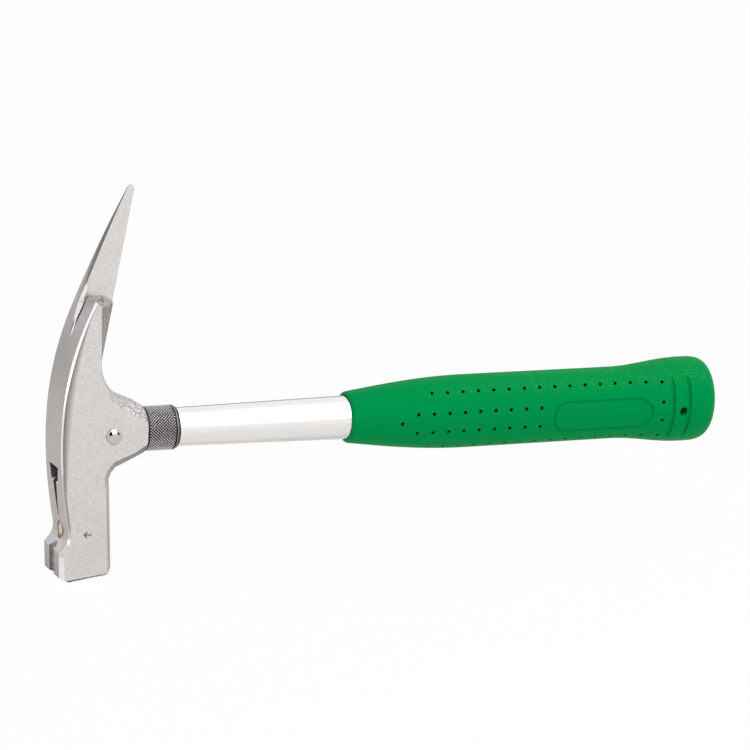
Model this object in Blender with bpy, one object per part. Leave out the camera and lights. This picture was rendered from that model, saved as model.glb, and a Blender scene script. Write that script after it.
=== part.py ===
"""Lath hammer: a forged head with a spike, two nail pullers and a magnetic nail holder, on a tubular steel
handle with a moulded grip. +X runs along the handle from the head to the butt, +Z points up to the spike,
and the origin is the centre of the striking face."""

import math

import bmesh
import bpy
from mathutils import Matrix, Vector

MM = 0.001

# Clearance between pieces that touch, and how far cutters run past what they cut
GAP = 0.3 * MM
OVERCUT = 15.0 * MM

# Head, in its own frame: x towards the grip and z up the post, from where the post meets the handle axis
HEAD_RAKE = math.radians(2.8)
HEAD_THICKNESS = 25.0 * MM
SIDE_TAPER = math.radians(3.6)
POST_BACK = 11.0 * MM
POST_CHAMFER = 2.3 * MM
FACE_DEPTH = 24.9 * MM
FACE_DROP = 65.9 * MM
FACE_TILT = math.radians(2.9)
FACE_CHAMFER = 0.7 * MM
TOE_RUN = 4.2 * MM
TOE_RISE = 2.4 * MM
HEEL_CHAMFER = 2.8 * MM
FRONT_BEVEL = 1.0 * MM
EAR_BEVEL = 1.9 * MM

# Rocker curve of the front face and the dish above the nail holder
ROCKER_RADIUS = 172.0 * MM
ROCKER_LOWER_RADIUS = 240.0 * MM
ROCKER_FRONT = 12.1 * MM
ROCKER_BELOW_AXIS = 7.5 * MM
DISH_RADIUS = 9.6 * MM
DISH_BELOW_AXIS = 44.3 * MM

# Spike and the back of the head
SPIKE_FOOT_LEAN = math.radians(22.5)
SPIKE_FRONT_RADIUS = 730.0 * MM
BACK_LEAN = math.radians(12.45)
NECK_HEIGHT = 34.0 * MM
NECK_BACK = 11.6 * MM
TIP_START = 108.6 * MM
TIP_LENGTH = 3.2 * MM
TIP_CUT = 0.985
TIP_LEAD = 0.3
TIP_HALF_WIDTH = 4.0 * MM
FAR_SIDE_START = 18.0 * MM
FAR_SIDE_CURVE = 1.5
RIDGE_HALF_WIDTH = 0.8 * MM
SIDE_FACE_BACK = 7.5 * MM
FLANK_TOP = 58.0 * MM
FLANK_LEAN = math.radians(1.5)

# Socket boss that carries the handle
BOSS_ROOT = 3.0 * MM
BOSS_END = 29.8 * MM
BOSS_END_RADIUS = 10.9 * MM
BOSS_ANGLE = math.radians(23.2)
BOSS_CHAMFER = 0.4 * MM
BOSS_FADE = 5.0 * MM
FLASH_RISE = 0.07
FLASH_SHARPNESS = 8
NECK_FILLET = 18.0 * MM
NECK_MIDDLE = 20.5 * MM
NECK_MIDDLE_FALL = 0.27
NECK_FOOT_FALL = 0.63
SKIRT_HEIGHT = 12.3 * MM
SKIRT_FALL = 0.87
HEEL_FILLET = 6.5 * MM
UNDERSIDE_CREST = 4.0 * MM
UNDERSIDE_HEEL_RISE = 5.5 * MM
UNDERSIDE_END_RISE = 5.7 * MM
SOCKET_FLOOR = 1.5 * MM

# Side nail puller: the horn, set back on the near side, and the notch between it and the spike
HORN_HEIGHT = 62.1 * MM
HORN_SETBACK = 3.2 * MM
HORN_SETBACK_START = 8.0 * MM
HORN_TOP_FALL = math.radians(47.0)
SPIKE_SIDE = 0.6 * MM
SHOULDER_RADIUS = 9.85 * MM
SHOULDER_MIDDLE = 9.8 * MM
SHOULDER_HEIGHT = 52.6 * MM
SHOULDER_FRONT = 4.4 * MM
SHOULDER_BACK = 17.3 * MM
NOTCH_BOTTOM = 45.5 * MM
NOTCH_BOTTOM_WIDTH = 0.5 * MM
NOTCH_OFFSET = 1.2 * MM
NOTCH_MOUTH = 4.2 * MM
NOTCH_DEPTH = 10.0 * MM

# Front nail puller: a pocket for the nail head above a slot that narrows to a point
POCKET_TOP = 14.0 * MM
POCKET_HEIGHT = 6.5 * MM
POCKET_TOP_WIDTH = 11.8 * MM
POCKET_BOTTOM_WIDTH = 9.2 * MM
POCKET_DEPTH = 6.5 * MM
SLOT_LENGTH = 17.5 * MM
SLOT_MOUTH_WIDTH = 5.4 * MM
SLOT_END_WIDTH = 0.7 * MM
SLOT_DEPTH = 4.6 * MM
LIP_THICKNESS = 2.6 * MM
CHANNEL_LENGTH = 13.0 * MM
CHANNEL_END_WIDTH = 4.0 * MM

# Nail holder
NAIL_SLOT_WIDTH = 6.6 * MM
NAIL_SLOT_DEPTH = 4.5 * MM
BUSH_DIAMETER = 7.9 * MM
BUSH_WALL = 0.8 * MM
BUSH_LENGTH = 5.5 * MM
BUSH_PROUD = 0.45 * MM
MAGNET_SINK = 0.3 * MM

# Handle, measured along its axis from the same crossing point
TUBE_HEAD_DIAMETER = 17.8 * MM
TUBE_GRIP_DIAMETER = 20.2 * MM
TUBE_WALL = 1.6 * MM
TUBE_TAPER_START = 50.0 * MM
TUBE_TO_BUTT = 27.9 * MM
COLLAR_DIAMETER = 20.6 * MM
COLLAR_LENGTH = 15.5 * MM
COLLAR_EDGE = 0.5 * MM
COLLAR_NOSE = 2.8 * MM
COLLAR_NOSE_DEPTH = 0.8 * MM
CORE_LENGTH = 34.0 * MM
RIVET_AT = 13.2 * MM
RIVET_SHANK = 5.0 * MM
RIVET_HEAD = 7.2 * MM
RIVET_DOME = 1.2 * MM
RIVET_RIM = 0.4 * MM
RIVET_SEAT = 0.3 * MM
PLUG_LENGTH = 14.0 * MM
PLUG_FLANGE = 2.0 * MM

# Grip
GRIP_START = 128.5 * MM
GRIP_LENGTH = 185.4 * MM
GRIP_MOUTH_HEIGHT = 23.6 * MM
GRIP_BELLY_HEIGHT = 34.4 * MM
GRIP_BELLY_AT = 60.0 * MM
GRIP_WAIST_HEIGHT = 34.2 * MM
GRIP_WAIST_TO_BUTT = 51.4 * MM
GRIP_BUTT_HEIGHT = 40.4 * MM
GRIP_BUTT_ROUND = 15.2 * MM
GRIP_BUTT_SQUARENESS = 2.9
GRIP_BUTT_ARC = math.radians(78.0)
GRIP_WIDTH_SHARE = 0.84
GRIP_MOUTH_ROUND = 1.2 * MM

# Grip details: rows of dimples in common columns, two finger grooves and the hanging hole
DIMPLE_DIAMETER = 2.0 * MM
DIMPLE_FLOOR = 1.5 * MM
DIMPLE_DEPTH = 2.2 * MM
DIMPLE_FIRST = 23.5 * MM
DIMPLE_LAST_TO_BUTT = 30.15 * MM
DIMPLE_LAST_COLUMN = 17
DIMPLE_ROWS = (
    (12.0 * MM, range(2, DIMPLE_LAST_COLUMN + 1)),
    (3.0 * MM, (*range(1, 10), DIMPLE_LAST_COLUMN)),
    (-1.0 * MM, (0,)),
    (-6.0 * MM, (*range(1, 10), DIMPLE_LAST_COLUMN)),
    (-14.3 * MM, range(2, DIMPLE_LAST_COLUMN + 1)),
)
FIRST_GROOVE_TO_BUTT = 25.1 * MM
SECOND_GROOVE_TO_BUTT = 17.1 * MM
GROOVE_DEPTH = 0.55 * MM
GROOVE_WIDTH = 2.2 * MM
GROOVE_FADE = 0.36
GROOVE_FADE_RANGE = 0.12
GROOVE_STEPS = 4
HANGING_HOLE = 4.2 * MM
HANGING_HOLE_TO_BUTT = 19.6 * MM
HANGING_HOLE_BELOW_AXIS = 2.0 * MM

# Facets
SMOOTH_ANGLE = math.radians(32.0)
TURN_SEGMENTS = 48
BORE_SEGMENTS = 40
SMALL_SEGMENTS = 24
DIMPLE_SEGMENTS = 8
GRIP_SEGMENTS = 44
ARC_STEPS = 8

GRIP_END = GRIP_START + GRIP_LENGTH
GRIP_WAIST_AT = GRIP_LENGTH - GRIP_WAIST_TO_BUTT
TUBE_END = GRIP_END - TUBE_TO_BUTT
DIMPLE_PITCH = (GRIP_LENGTH - DIMPLE_FIRST - DIMPLE_LAST_TO_BUTT) / DIMPLE_LAST_COLUMN
GROOVE_POSITIONS = (GRIP_LENGTH - FIRST_GROOVE_TO_BUTT, GRIP_LENGTH - SECOND_GROOVE_TO_BUTT)
EAR_FRONT = FACE_DEPTH - POST_BACK
FACE_CENTRE = Vector(((POST_BACK - EAR_FRONT) / 2, 0.0, -FACE_DROP))
HALF_THICKNESS = HEAD_THICKNESS / 2
TO_WORLD = Matrix.Rotation(-HEAD_RAKE, 4, "Y")
CROSSING = -(TO_WORLD @ FACE_CENTRE)


def clear_scene():
    for obj in list(bpy.data.objects):
        bpy.data.objects.remove(obj, do_unlink=True)


def material(name, colour, metallic, roughness):
    made = bpy.data.materials.new(name)
    made.use_nodes = True
    shader = made.node_tree.nodes["Principled BSDF"]
    shader.inputs["Base Color"].default_value = (*colour, 1.0)
    shader.inputs["Metallic"].default_value = metallic
    shader.inputs["Roughness"].default_value = roughness
    return made


def axis_empty(name, rake):
    empty = bpy.data.objects.new(name, None)
    empty.location = CROSSING
    empty.rotation_euler = (0.0, -rake, 0.0)
    bpy.context.scene.collection.objects.link(empty)
    return empty


def place(name, bm, parent, finish=None):
    """Links a bmesh as an object under an axis. A shape with no finish is a cutter."""
    bmesh.ops.remove_doubles(bm, verts=bm.verts, dist=1e-7)
    bmesh.ops.recalc_face_normals(bm, faces=bm.faces)
    mesh = bpy.data.meshes.new(name)
    bm.to_mesh(mesh)
    bm.free()
    mesh.shade_smooth()
    mesh.set_sharp_from_angle(angle=SMOOTH_ANGLE)
    obj = bpy.data.objects.new(name, mesh)
    obj.parent = parent
    if finish:
        mesh.materials.append(finish)
    else:
        obj.hide_render = True
        obj.display_type = "WIRE"
    bpy.context.scene.collection.objects.link(obj)
    return obj


def loft(sections):
    """Joins loops of as many points each by quads, with a cap at both ends."""
    bm = bmesh.new()
    loops = [[bm.verts.new(point) for point in section] for section in sections]
    for lower, upper in zip(loops, loops[1:]):
        for i in range(len(lower)):
            j = (i + 1) % len(lower)
            bm.faces.new((lower[i], lower[j], upper[j], upper[i]))
    bm.faces.new(loops[0])
    bm.faces.new(loops[-1])
    return bm


def turn(profile, segments, axis="X"):
    """Spins a closed outline of (along, radius) points round the handle axis, or round Y for a cross pin."""
    bm = bmesh.new()
    along = Vector((1, 0, 0)) if axis == "X" else Vector((0, 1, 0))
    verts = [bm.verts.new(along * s + Vector((0, 0, r))) for s, r in profile]
    edges = [bm.edges.new((verts[i - 1], verts[i])) for i in range(len(verts))]
    bmesh.ops.spin(
        bm, geom=verts + edges, cent=(0, 0, 0), axis=along, angle=math.tau, steps=segments, use_merge=True
    )
    bmesh.ops.remove_doubles(bm, verts=bm.verts, dist=1e-6)
    bmesh.ops.dissolve_degenerate(bm, edges=bm.edges, dist=1e-7)
    return bm


def rod(start, end, radius, segments, axis="X", centre=(0.0, 0.0, 0.0)):
    bm = turn(((start, 0.0), (start, radius), (end, radius), (end, 0.0)), segments, axis)
    bmesh.ops.translate(bm, verts=bm.verts, vec=centre)
    return bm


def boolean(target, operation, *others):
    for other in others:
        modifier = target.modifiers.new(f"{operation.lower()}_{other.name}", "BOOLEAN")
        modifier.operation = operation
        modifier.object = other
        modifier.solver = "EXACT"


def mix(a, b, share):
    return a + (b - a) * min(max(share, 0.0), 1.0)


def spaced(start, end, steps):
    return [start + (end - start) * i / steps for i in range(steps + 1)]


def side_half_width(x):
    """Half the head's thickness between its ground sides, which draw in towards the handle."""
    return HALF_THICKNESS - (x + ROCKER_FRONT) * math.tan(SIDE_TAPER)


# The front outline: spike arc, two rocker arcs, dish arc and ear front, tangent down to the dish
ROCKER_CENTRE = Vector((ROCKER_RADIUS - ROCKER_FRONT, -ROCKER_BELOW_AXIS))
LOWER_CENTRE = Vector((ROCKER_LOWER_RADIUS - ROCKER_FRONT, -ROCKER_BELOW_AXIS))
FOOT_WAY = Vector((-math.cos(SPIKE_FOOT_LEAN), math.sin(SPIKE_FOOT_LEAN)))
SPIKE_FOOT = ROCKER_CENTRE + ROCKER_RADIUS * FOOT_WAY
SPIKE_CENTRE = SPIKE_FOOT - SPIKE_FRONT_RADIUS * FOOT_WAY
CENTRES_APART = ROCKER_LOWER_RADIUS + DISH_RADIUS
DISH_DROP = DISH_BELOW_AXIS - ROCKER_BELOW_AXIS
DISH_CENTRE = Vector((LOWER_CENTRE.x - math.sqrt(CENTRES_APART**2 - DISH_DROP**2), -DISH_BELOW_AXIS))
DISH_TOP = LOWER_CENTRE.lerp(DISH_CENTRE, ROCKER_LOWER_RADIUS / CENTRES_APART).y
EAR_TOP = DISH_CENTRE.y - math.sqrt(DISH_RADIUS**2 - (EAR_FRONT + DISH_CENTRE.x) ** 2)
BUSH_FACE = DISH_CENTRE.x + DISH_RADIUS - BUSH_PROUD
HEAD_BOTTOM = -FACE_DROP - OVERCUT
TIP_TOP = TIP_START + TIP_CUT * TIP_LENGTH


def arc_x(centre, radius, z):
    """The left side of a circle in the side view."""
    return centre.x - math.sqrt(radius**2 - (z - centre.y) ** 2)


def back_line(z):
    return NECK_BACK + (z - NECK_HEIGHT) * math.tan(BACK_LEAN)


def spike_edges(z):
    """Front and back of the spike in the side view, closing to a round tip."""
    front, back = arc_x(SPIKE_CENTRE, SPIKE_FRONT_RADIUS, z), back_line(z)
    share = mix(0.0, TIP_CUT, (z - TIP_START) / (TIP_TOP - TIP_START))
    closing = (back - front) * (1 - math.sqrt(1 - share**2))
    return front + TIP_LEAD * closing, back - (1 - TIP_LEAD) * closing


def front_x(z):
    if z > SPIKE_FOOT.y:
        return spike_edges(z)[0]
    if z > ROCKER_CENTRE.y:
        return arc_x(ROCKER_CENTRE, ROCKER_RADIUS, z)
    if z > DISH_TOP:
        return arc_x(LOWER_CENTRE, ROCKER_LOWER_RADIUS, z)
    if z > EAR_TOP:
        return DISH_CENTRE.x + math.sqrt(DISH_RADIUS**2 - (z - DISH_CENTRE.y) ** 2)
    return -EAR_FRONT


def far_half_width(z):
    """The far side of the head draws in along a curve from the body to the spike's tip."""
    share = max(0.0, (z - FAR_SIDE_START) / (TIP_TOP - FAR_SIDE_START))
    return mix(HALF_THICKNESS, TIP_HALF_WIDTH, share**FAR_SIDE_CURVE)


def horn_setback(z):
    """How far the near edge of the front face lies behind the rest of it, growing up to the horn."""
    share = max(0.0, (z - HORN_SETBACK_START) / (HORN_HEIGHT - HORN_SETBACK_START))
    return HORN_SETBACK * min(share, 1.0) ** 2


def tip_heights():
    """Levels of the spike's round tip, closer together towards its top."""
    turns = spaced(0.0, math.asin(TIP_CUT), ARC_STEPS)
    return [TIP_START + TIP_LENGTH * math.sin(angle) for angle in turns]


def front_shell():
    """The head as its front and sides bound it: the front outline with bevelled edges, open to the back."""
    heights = [
        HEAD_BOTTOM,
        *spaced(EAR_TOP, DISH_TOP, ARC_STEPS),
        *spaced(DISH_TOP, ROCKER_CENTRE.y, ARC_STEPS)[1:],
        *spaced(ROCKER_CENTRE.y, SPIKE_FOOT.y, 2 * ARC_STEPS)[1:],
        *spaced(SPIKE_FOOT.y, TIP_START, ARC_STEPS)[1:],
        *tip_heights()[1:],
    ]
    back = BOSS_END + OVERCUT
    near_back = side_half_width(back)
    sections = []
    for z in heights:
        front = front_x(z)
        bevel = EAR_BEVEL if z <= EAR_TOP else FRONT_BEVEL
        bevel = mix(bevel, FRONT_BEVEL / 2, (z - SPIKE_FOOT.y) / (TIP_TOP - SPIKE_FOOT.y))
        drawn_in = HALF_THICKNESS - far_half_width(z)
        near_front = front + horn_setback(z)
        near = side_half_width(near_front + bevel)
        far = side_half_width(front + bevel) - drawn_in
        sections.append(
            (
                (near_front, -near + bevel, z),
                (near_front + bevel, -near, z),
                (back, -near_back, z),
                (back, near_back - drawn_in, z),
                (front + bevel, far, z),
                (front, far - bevel, z),
                (front, 0.0, z),
            )
        )
    return loft(sections)


def fillet(corner, to_first, to_second, radius):
    """Centre of the arc that rounds a corner, and its two tangent points."""
    first, second = Vector(to_first).normalized(), Vector(to_second).normalized()
    half = first.angle(second) / 2
    reach = radius / math.tan(half)
    centre = corner + (first + second).normalized() * radius / math.sin(half)
    return centre, corner + first * reach, corner + second * reach


def boss_edge(side):
    """The end of the boss's cone above (+1) or below (-1) the handle axis, and the cone's way there."""
    turn_back = Matrix.Rotation(-HEAD_RAKE, 2)
    end = turn_back @ Vector((BOSS_END, side * BOSS_END_RADIUS))
    way = turn_back @ Vector((math.cos(BOSS_ANGLE), -side * math.sin(BOSS_ANGLE)))
    return end, way


def crossing(point, way, line_point, line_way):
    """Where two lines of the side view meet."""
    offset = line_point - point
    share = offset.cross(line_way) / way.cross(line_way)
    return point + way * share


BACK_WAY = Vector((math.sin(BACK_LEAN), math.cos(BACK_LEAN)))
POST_WAY = Vector((0.0, -1.0))
UPPER_END, UPPER_WAY = boss_edge(1)
LOWER_END, LOWER_WAY = boss_edge(-1)
NECK_CORNER = crossing(UPPER_END, UPPER_WAY, Vector((NECK_BACK, NECK_HEIGHT)), BACK_WAY)
HEEL_CORNER = crossing(LOWER_END, LOWER_WAY, Vector((POST_BACK, 0.0)), POST_WAY)
NECK_CENTRE, NECK_TOP, NECK_FOOT = fillet(NECK_CORNER, BACK_WAY, UPPER_WAY, NECK_FILLET)
HEEL_CENTRE, HEEL_LOW, HEEL_TOP = fillet(HEEL_CORNER, POST_WAY, LOWER_WAY, HEEL_FILLET)
SKIRT = crossing(UPPER_END, UPPER_WAY, Vector((0.0, SKIRT_HEIGHT)), Vector((1.0, 0.0)))


def back_x(z):
    if z > NECK_TOP.y:
        return spike_edges(z)[1]
    if z > NECK_FOOT.y:
        return NECK_CENTRE.x - math.sqrt(NECK_FILLET**2 - (z - NECK_CENTRE.y) ** 2)
    if z > SKIRT.y:
        return mix(SKIRT.x, NECK_FOOT.x, (z - SKIRT.y) / (NECK_FOOT.y - SKIRT.y))
    if z > 0.0:
        return mix(POST_BACK, SKIRT.x, z / SKIRT.y)
    if z > HEEL_TOP.y:
        return mix(POST_BACK, HEEL_TOP.x, z / HEEL_TOP.y)
    if z > HEEL_LOW.y:
        return HEEL_CENTRE.x - math.sqrt(HEEL_FILLET**2 - (z - HEEL_CENTRE.y) ** 2)
    return POST_BACK


def flank_fall(z):
    """How far the spike's flanks fall forward for each unit outwards, from its ridge to its ground side."""
    z = min(max(z, NECK_HEIGHT), FLANK_TOP)
    side_edge = SIDE_FACE_BACK + (z - NECK_HEIGHT) * math.tan(FLANK_LEAN)
    return (back_line(z) - side_edge) / (side_half_width(side_edge) - RIDGE_HALF_WIDTH)


def back_section(z):
    """Half width of the back's crest, and how far its flanks fall forward for each unit outwards."""
    stations = (
        (0.0, HALF_THICKNESS, 1.0),
        (SKIRT.y, RIDGE_HALF_WIDTH, SKIRT_FALL),
        (NECK_FOOT.y, RIDGE_HALF_WIDTH, NECK_FOOT_FALL),
        (NECK_MIDDLE, RIDGE_HALF_WIDTH, NECK_MIDDLE_FALL),
        (NECK_TOP.y, RIDGE_HALF_WIDTH, flank_fall(NECK_TOP.y)),
    )
    if z <= 0.0:
        return stations[0][1:]
    for (low, crest, fall), (high, next_crest, next_fall) in zip(stations, stations[1:]):
        if z < high:
            share = (z - low) / (high - low)
            return mix(crest, next_crest, share), mix(fall, next_fall, share)
    return RIDGE_HALF_WIDTH, flank_fall(z)


def back_body():
    """The head as its back bounds it: the post, fillets to the boss and the ridged back of the spike."""
    heights = [
        HEAD_BOTTOM - OVERCUT,
        *spaced(HEEL_LOW.y, HEEL_TOP.y, ARC_STEPS),
        0.0,
        SKIRT.y,
        *spaced(NECK_FOOT.y, NECK_TOP.y, ARC_STEPS),
        *spaced(NECK_TOP.y, FLANK_TOP, ARC_STEPS)[1:],
        *tip_heights(),
        TIP_TOP + OVERCUT,
    ]
    outside = HEAD_THICKNESS
    before = -ROCKER_FRONT - 2 * OVERCUT
    sections = []
    for z in heights:
        crest_x = back_x(z)
        crest, fall = back_section(z)
        edge = max(crest_x - fall * (outside - crest), before + GAP)
        sections.append(
            (
                (before, -outside, z),
                (edge, -outside, z),
                (crest_x, -crest, z),
                (crest_x, crest, z),
                (edge, outside, z),
                (before, outside, z),
            )
        )
    return loft(sections)


def underside():
    """Cuts the chamfer that runs up the back of the post, round the heel and under the boss."""
    to_low, to_top = HEEL_LOW - HEEL_CENTRE, HEEL_TOP - HEEL_CENTRE
    post_crest = side_half_width(POST_BACK) - POST_CHAMFER
    stations = [(Vector((POST_BACK, HEAD_BOTTOM - OVERCUT)), to_low.normalized(), post_crest, POST_CHAMFER)]
    for share in spaced(0.0, 1.0, ARC_STEPS):
        inward = to_low.lerp(to_top, share).normalized()
        crest = mix(post_crest, UNDERSIDE_CREST, share)
        rise = mix(POST_CHAMFER, UNDERSIDE_HEEL_RISE, share)
        stations.append((HEEL_CENTRE + HEEL_FILLET * inward, inward, crest, rise))
    for end in (LOWER_END, LOWER_END + OVERCUT * LOWER_WAY):
        stations.append((end, to_top.normalized(), UNDERSIDE_CREST, UNDERSIDE_END_RISE))

    outside = HEAD_THICKNESS
    corner = Vector((BOSS_END + 2 * OVERCUT, HEAD_BOTTOM - 2 * OVERCUT))
    sections = []
    for point, inward, crest, rise in stations:
        slope = rise / (side_half_width(point.x) - crest)
        floor = point - GAP * inward
        side = floor + slope * (outside - crest) * inward
        near_half = ((corner, -outside), (side, -outside), (floor, -crest))
        far_half = ((floor, crest), (side, outside), (corner, outside))
        sections.append([(at.x, y, at.y) for at, y in near_half + far_half])
    return loft(sections)


def boss_cone():
    """The cone that carries the handle, drawn up to a flash ridge on top."""
    stations = (BOSS_ROOT, BOSS_END - BOSS_FADE, BOSS_END - BOSS_CHAMFER)
    cone = [(s, BOSS_END_RADIUS + (BOSS_END - s) * math.tan(BOSS_ANGLE)) for s in stations]
    bm = turn(
        ((BOSS_ROOT, 0.0), *cone, (BOSS_END, BOSS_END_RADIUS - BOSS_CHAMFER), (BOSS_END, 0.0)), TURN_SEGMENTS
    )
    for vert in bm.verts:
        fade = mix(0.0, 1.0, (BOSS_END - vert.co.x) / BOSS_FADE)
        rise = max(0.0, vert.co.z) / max(vert.co.yz.length, GAP)
        vert.co.z *= 1.0 + FLASH_RISE * fade * rise**FLASH_SHARPNESS
    return bm


def face_limit():
    """A pyramid standing on the striking face, whose sloping sides chamfer the face's four edges."""
    front, heel = -FACE_DEPTH / 2 + TOE_RUN, FACE_DEPTH / 2 - HEEL_CHAMFER
    front_half = side_half_width(-EAR_FRONT) - FACE_CHAMFER
    heel_half = side_half_width(POST_BACK) - FACE_CHAMFER
    rise = TIP_TOP + FACE_DROP + OVERCUT
    toe = front - rise * TOE_RUN / TOE_RISE
    base = ((front, -front_half), (heel, -heel_half), (heel, heel_half), (front, front_half))
    top = (
        (toe, -front_half - rise),
        (heel + rise, -heel_half - rise),
        (heel + rise, heel_half + rise),
        (toe, front_half + rise),
    )
    bm = loft(([(x, y, 0.0) for x, y in base], [(x, y, rise) for x, y in top]))
    bm.transform(Matrix.Translation(FACE_CENTRE) @ Matrix.Rotation(-FACE_TILT, 4, "Y"))
    return bm


def shoulder_height(x):
    """Top of the round shoulder where the spike's ground side ends."""
    x = min(max(x, SHOULDER_FRONT), SHOULDER_BACK)
    return SHOULDER_HEIGHT + math.sqrt(SHOULDER_RADIUS**2 - (x - SHOULDER_MIDDLE) ** 2)


def spike_relief():
    """Frees the near side of the spike, down to its shoulder and the horn's falling top outside."""
    tip = front_x(HORN_HEIGHT) + HORN_SETBACK
    outer = -HEAD_THICKNESS
    reach = (SPIKE_SIDE - outer) / (SPIKE_SIDE + HALF_THICKNESS)
    high = TIP_TOP + OVERCUT
    sections = []
    for x in (-ROCKER_FRONT, *spaced(SHOULDER_FRONT, SHOULDER_BACK, 2 * ARC_STEPS), BOSS_END):
        shoulder = shoulder_height(x)
        horn = HORN_HEIGHT - max(0.0, x - tip) * math.tan(HORN_TOP_FALL)
        outline = (
            (SPIKE_SIDE, shoulder),
            (SPIKE_SIDE, high),
            (outer, high),
            (outer, shoulder + (horn - shoulder) * reach),
        )
        sections.append([(x, y, z) for y, z in outline])
    return loft(sections)


def notch():
    """The side nail puller between horn and spike: a wedge that opens upwards and lets a nail's shank in."""
    half = NOTCH_BOTTOM_WIDTH / 2
    levels = (
        (NOTCH_BOTTOM, -NOTCH_OFFSET - half, -NOTCH_OFFSET + half),
        (HORN_HEIGHT + NOTCH_BOTTOM_WIDTH, -NOTCH_MOUTH, SPIKE_SIDE),
    )
    sections = []
    for z, near, far in levels:
        ahead, floor = -ROCKER_FRONT - OVERCUT, front_x(z) + NOTCH_DEPTH
        sections.append(((ahead, near, z), (floor, near, z), (floor, far, z), (ahead, far, z)))
    return loft(sections)


def front_pocket():
    top, bottom = -POCKET_TOP, -POCKET_TOP - POCKET_HEIGHT
    sections = []
    for x in (-ROCKER_FRONT - OVERCUT, -ROCKER_FRONT + POCKET_DEPTH):
        half_top, half_bottom = POCKET_TOP_WIDTH / 2, POCKET_BOTTOM_WIDTH / 2
        sections.append(
            ((x, -half_top, top), (x, half_top, top), (x, half_bottom, bottom), (x, -half_bottom, bottom))
        )
    return loft(sections)


def front_slot():
    """The slot that grips a nail's shank, from inside the pocket down to its point."""
    top = -POCKET_TOP - POCKET_HEIGHT / 2
    bottom = -POCKET_TOP - POCKET_HEIGHT - SLOT_LENGTH
    half_top, half_bottom = SLOT_MOUTH_WIDTH / 2, SLOT_END_WIDTH / 2
    sections = []
    for z, half in ((bottom, half_bottom), (top, half_top)):
        ahead, floor = -ROCKER_FRONT - OVERCUT, front_x(z) + SLOT_DEPTH
        sections.append(((ahead, -half, z), (floor, -half, z), (floor, half, z), (ahead, half, z)))
    return loft(sections)


def head_channel():
    """The room for the nail's head behind the slot's lips."""
    top = -POCKET_TOP - POCKET_HEIGHT / 2
    bottom = -POCKET_TOP - POCKET_HEIGHT - CHANNEL_LENGTH
    deep = -ROCKER_FRONT + POCKET_DEPTH - GAP
    levels = (
        (bottom, CHANNEL_END_WIDTH / 2, deep + LIP_THICKNESS),
        (top, POCKET_BOTTOM_WIDTH / 2 - GAP, deep),
    )
    sections = []
    for z, half, floor in levels:
        lip = front_x(z) + LIP_THICKNESS
        sections.append(((lip, -half, z), (floor, -half, z), (floor, half, z), (lip, half, z)))
    return loft(sections)


def nail_slot():
    radius = NAIL_SLOT_WIDTH / 2
    centre = -EAR_FRONT + NAIL_SLOT_DEPTH - radius
    angles = spaced(-math.pi / 2, math.pi / 2, ARC_STEPS)
    outline = [(centre + radius * math.cos(a), radius * math.sin(a)) for a in angles]
    outline = [(-EAR_FRONT - OVERCUT, -radius), *outline, (-EAR_FRONT - OVERCUT, radius)]
    ends = (HEAD_BOTTOM - OVERCUT, DISH_CENTRE.y)
    return loft([[(x, y, z) for x, y in outline] for z in ends])


def make_head(head_axis, handle_axis, finish):
    head = place("head", front_shell(), head_axis, finish)
    back = place("head_back_form", back_body(), head_axis)
    boss = place("head_boss_form", boss_cone(), handle_axis)
    boolean(back, "UNION", boss)
    boolean(head, "INTERSECT", back, place("head_face_form", face_limit(), head_axis))

    socket_radius = TUBE_HEAD_DIAMETER / 2 + GAP
    magnet_bore = rod(
        -EAR_FRONT - OVERCUT,
        BUSH_FACE + BUSH_LENGTH + GAP,
        BUSH_DIAMETER / 2 + GAP,
        SMALL_SEGMENTS,
        centre=(0, 0, DISH_CENTRE.y),
    )
    seat = rivet_seat()
    boolean(
        head,
        "DIFFERENCE",
        place("underside_cut", underside(), head_axis),
        place("spike_relief_cut", spike_relief(), head_axis),
        place("side_puller_cut", notch(), head_axis),
        place("front_pocket_cut", front_pocket(), head_axis),
        place("front_slot_cut", front_slot(), head_axis),
        place("nail_head_channel_cut", head_channel(), head_axis),
        place("nail_slot_cut", nail_slot(), head_axis),
        place("magnet_bore_cut", magnet_bore, head_axis),
        place("socket_cut", rod(SOCKET_FLOOR, BOSS_END + OVERCUT, socket_radius, BORE_SEGMENTS), handle_axis),
        place("rivet_hole_cut", rivet_bore(), handle_axis),
        *(
            place(
                f"rivet_seat_cut_{name}",
                rod(*ends, RIVET_HEAD / 2 + GAP, SMALL_SEGMENTS, "Y", (RIVET_AT, 0, 0)),
                handle_axis,
            )
            for name, ends in (
                ("near", (-seat - OVERCUT, -seat)),
                ("far", (seat, seat + OVERCUT)),
            )
        ),
    )
    return head


def rivet_bore():
    return rod(-HEAD_THICKNESS, HEAD_THICKNESS, RIVET_SHANK / 2 + GAP, SMALL_SEGMENTS, "Y", (RIVET_AT, 0, 0))


def rivet_seat():
    """Distance of the rivet's two spot faces from the middle plane, just below the tapering sides."""
    return side_half_width(RIVET_AT + RIVET_HEAD / 2) - RIVET_SEAT


def make_magnet(head_axis, bush_finish, magnet_finish):
    face = BUSH_FACE
    outer, inner = BUSH_DIAMETER / 2, BUSH_DIAMETER / 2 - BUSH_WALL
    back = face + BUSH_LENGTH
    cup_floor = back - BUSH_WALL
    cup = turn(
        ((face, inner), (face, outer), (back, outer), (back, 0.0), (cup_floor, 0.0), (cup_floor, inner)),
        SMALL_SEGMENTS,
    )
    disc = rod(face + MAGNET_SINK, cup_floor - GAP, inner - GAP, SMALL_SEGMENTS)
    for name, bm, finish in (("magnet_cup", cup, bush_finish), ("magnet", disc, magnet_finish)):
        bmesh.ops.translate(bm, verts=bm.verts, vec=(0, 0, DISH_CENTRE.y))
        place(name, bm, head_axis, finish)


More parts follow.
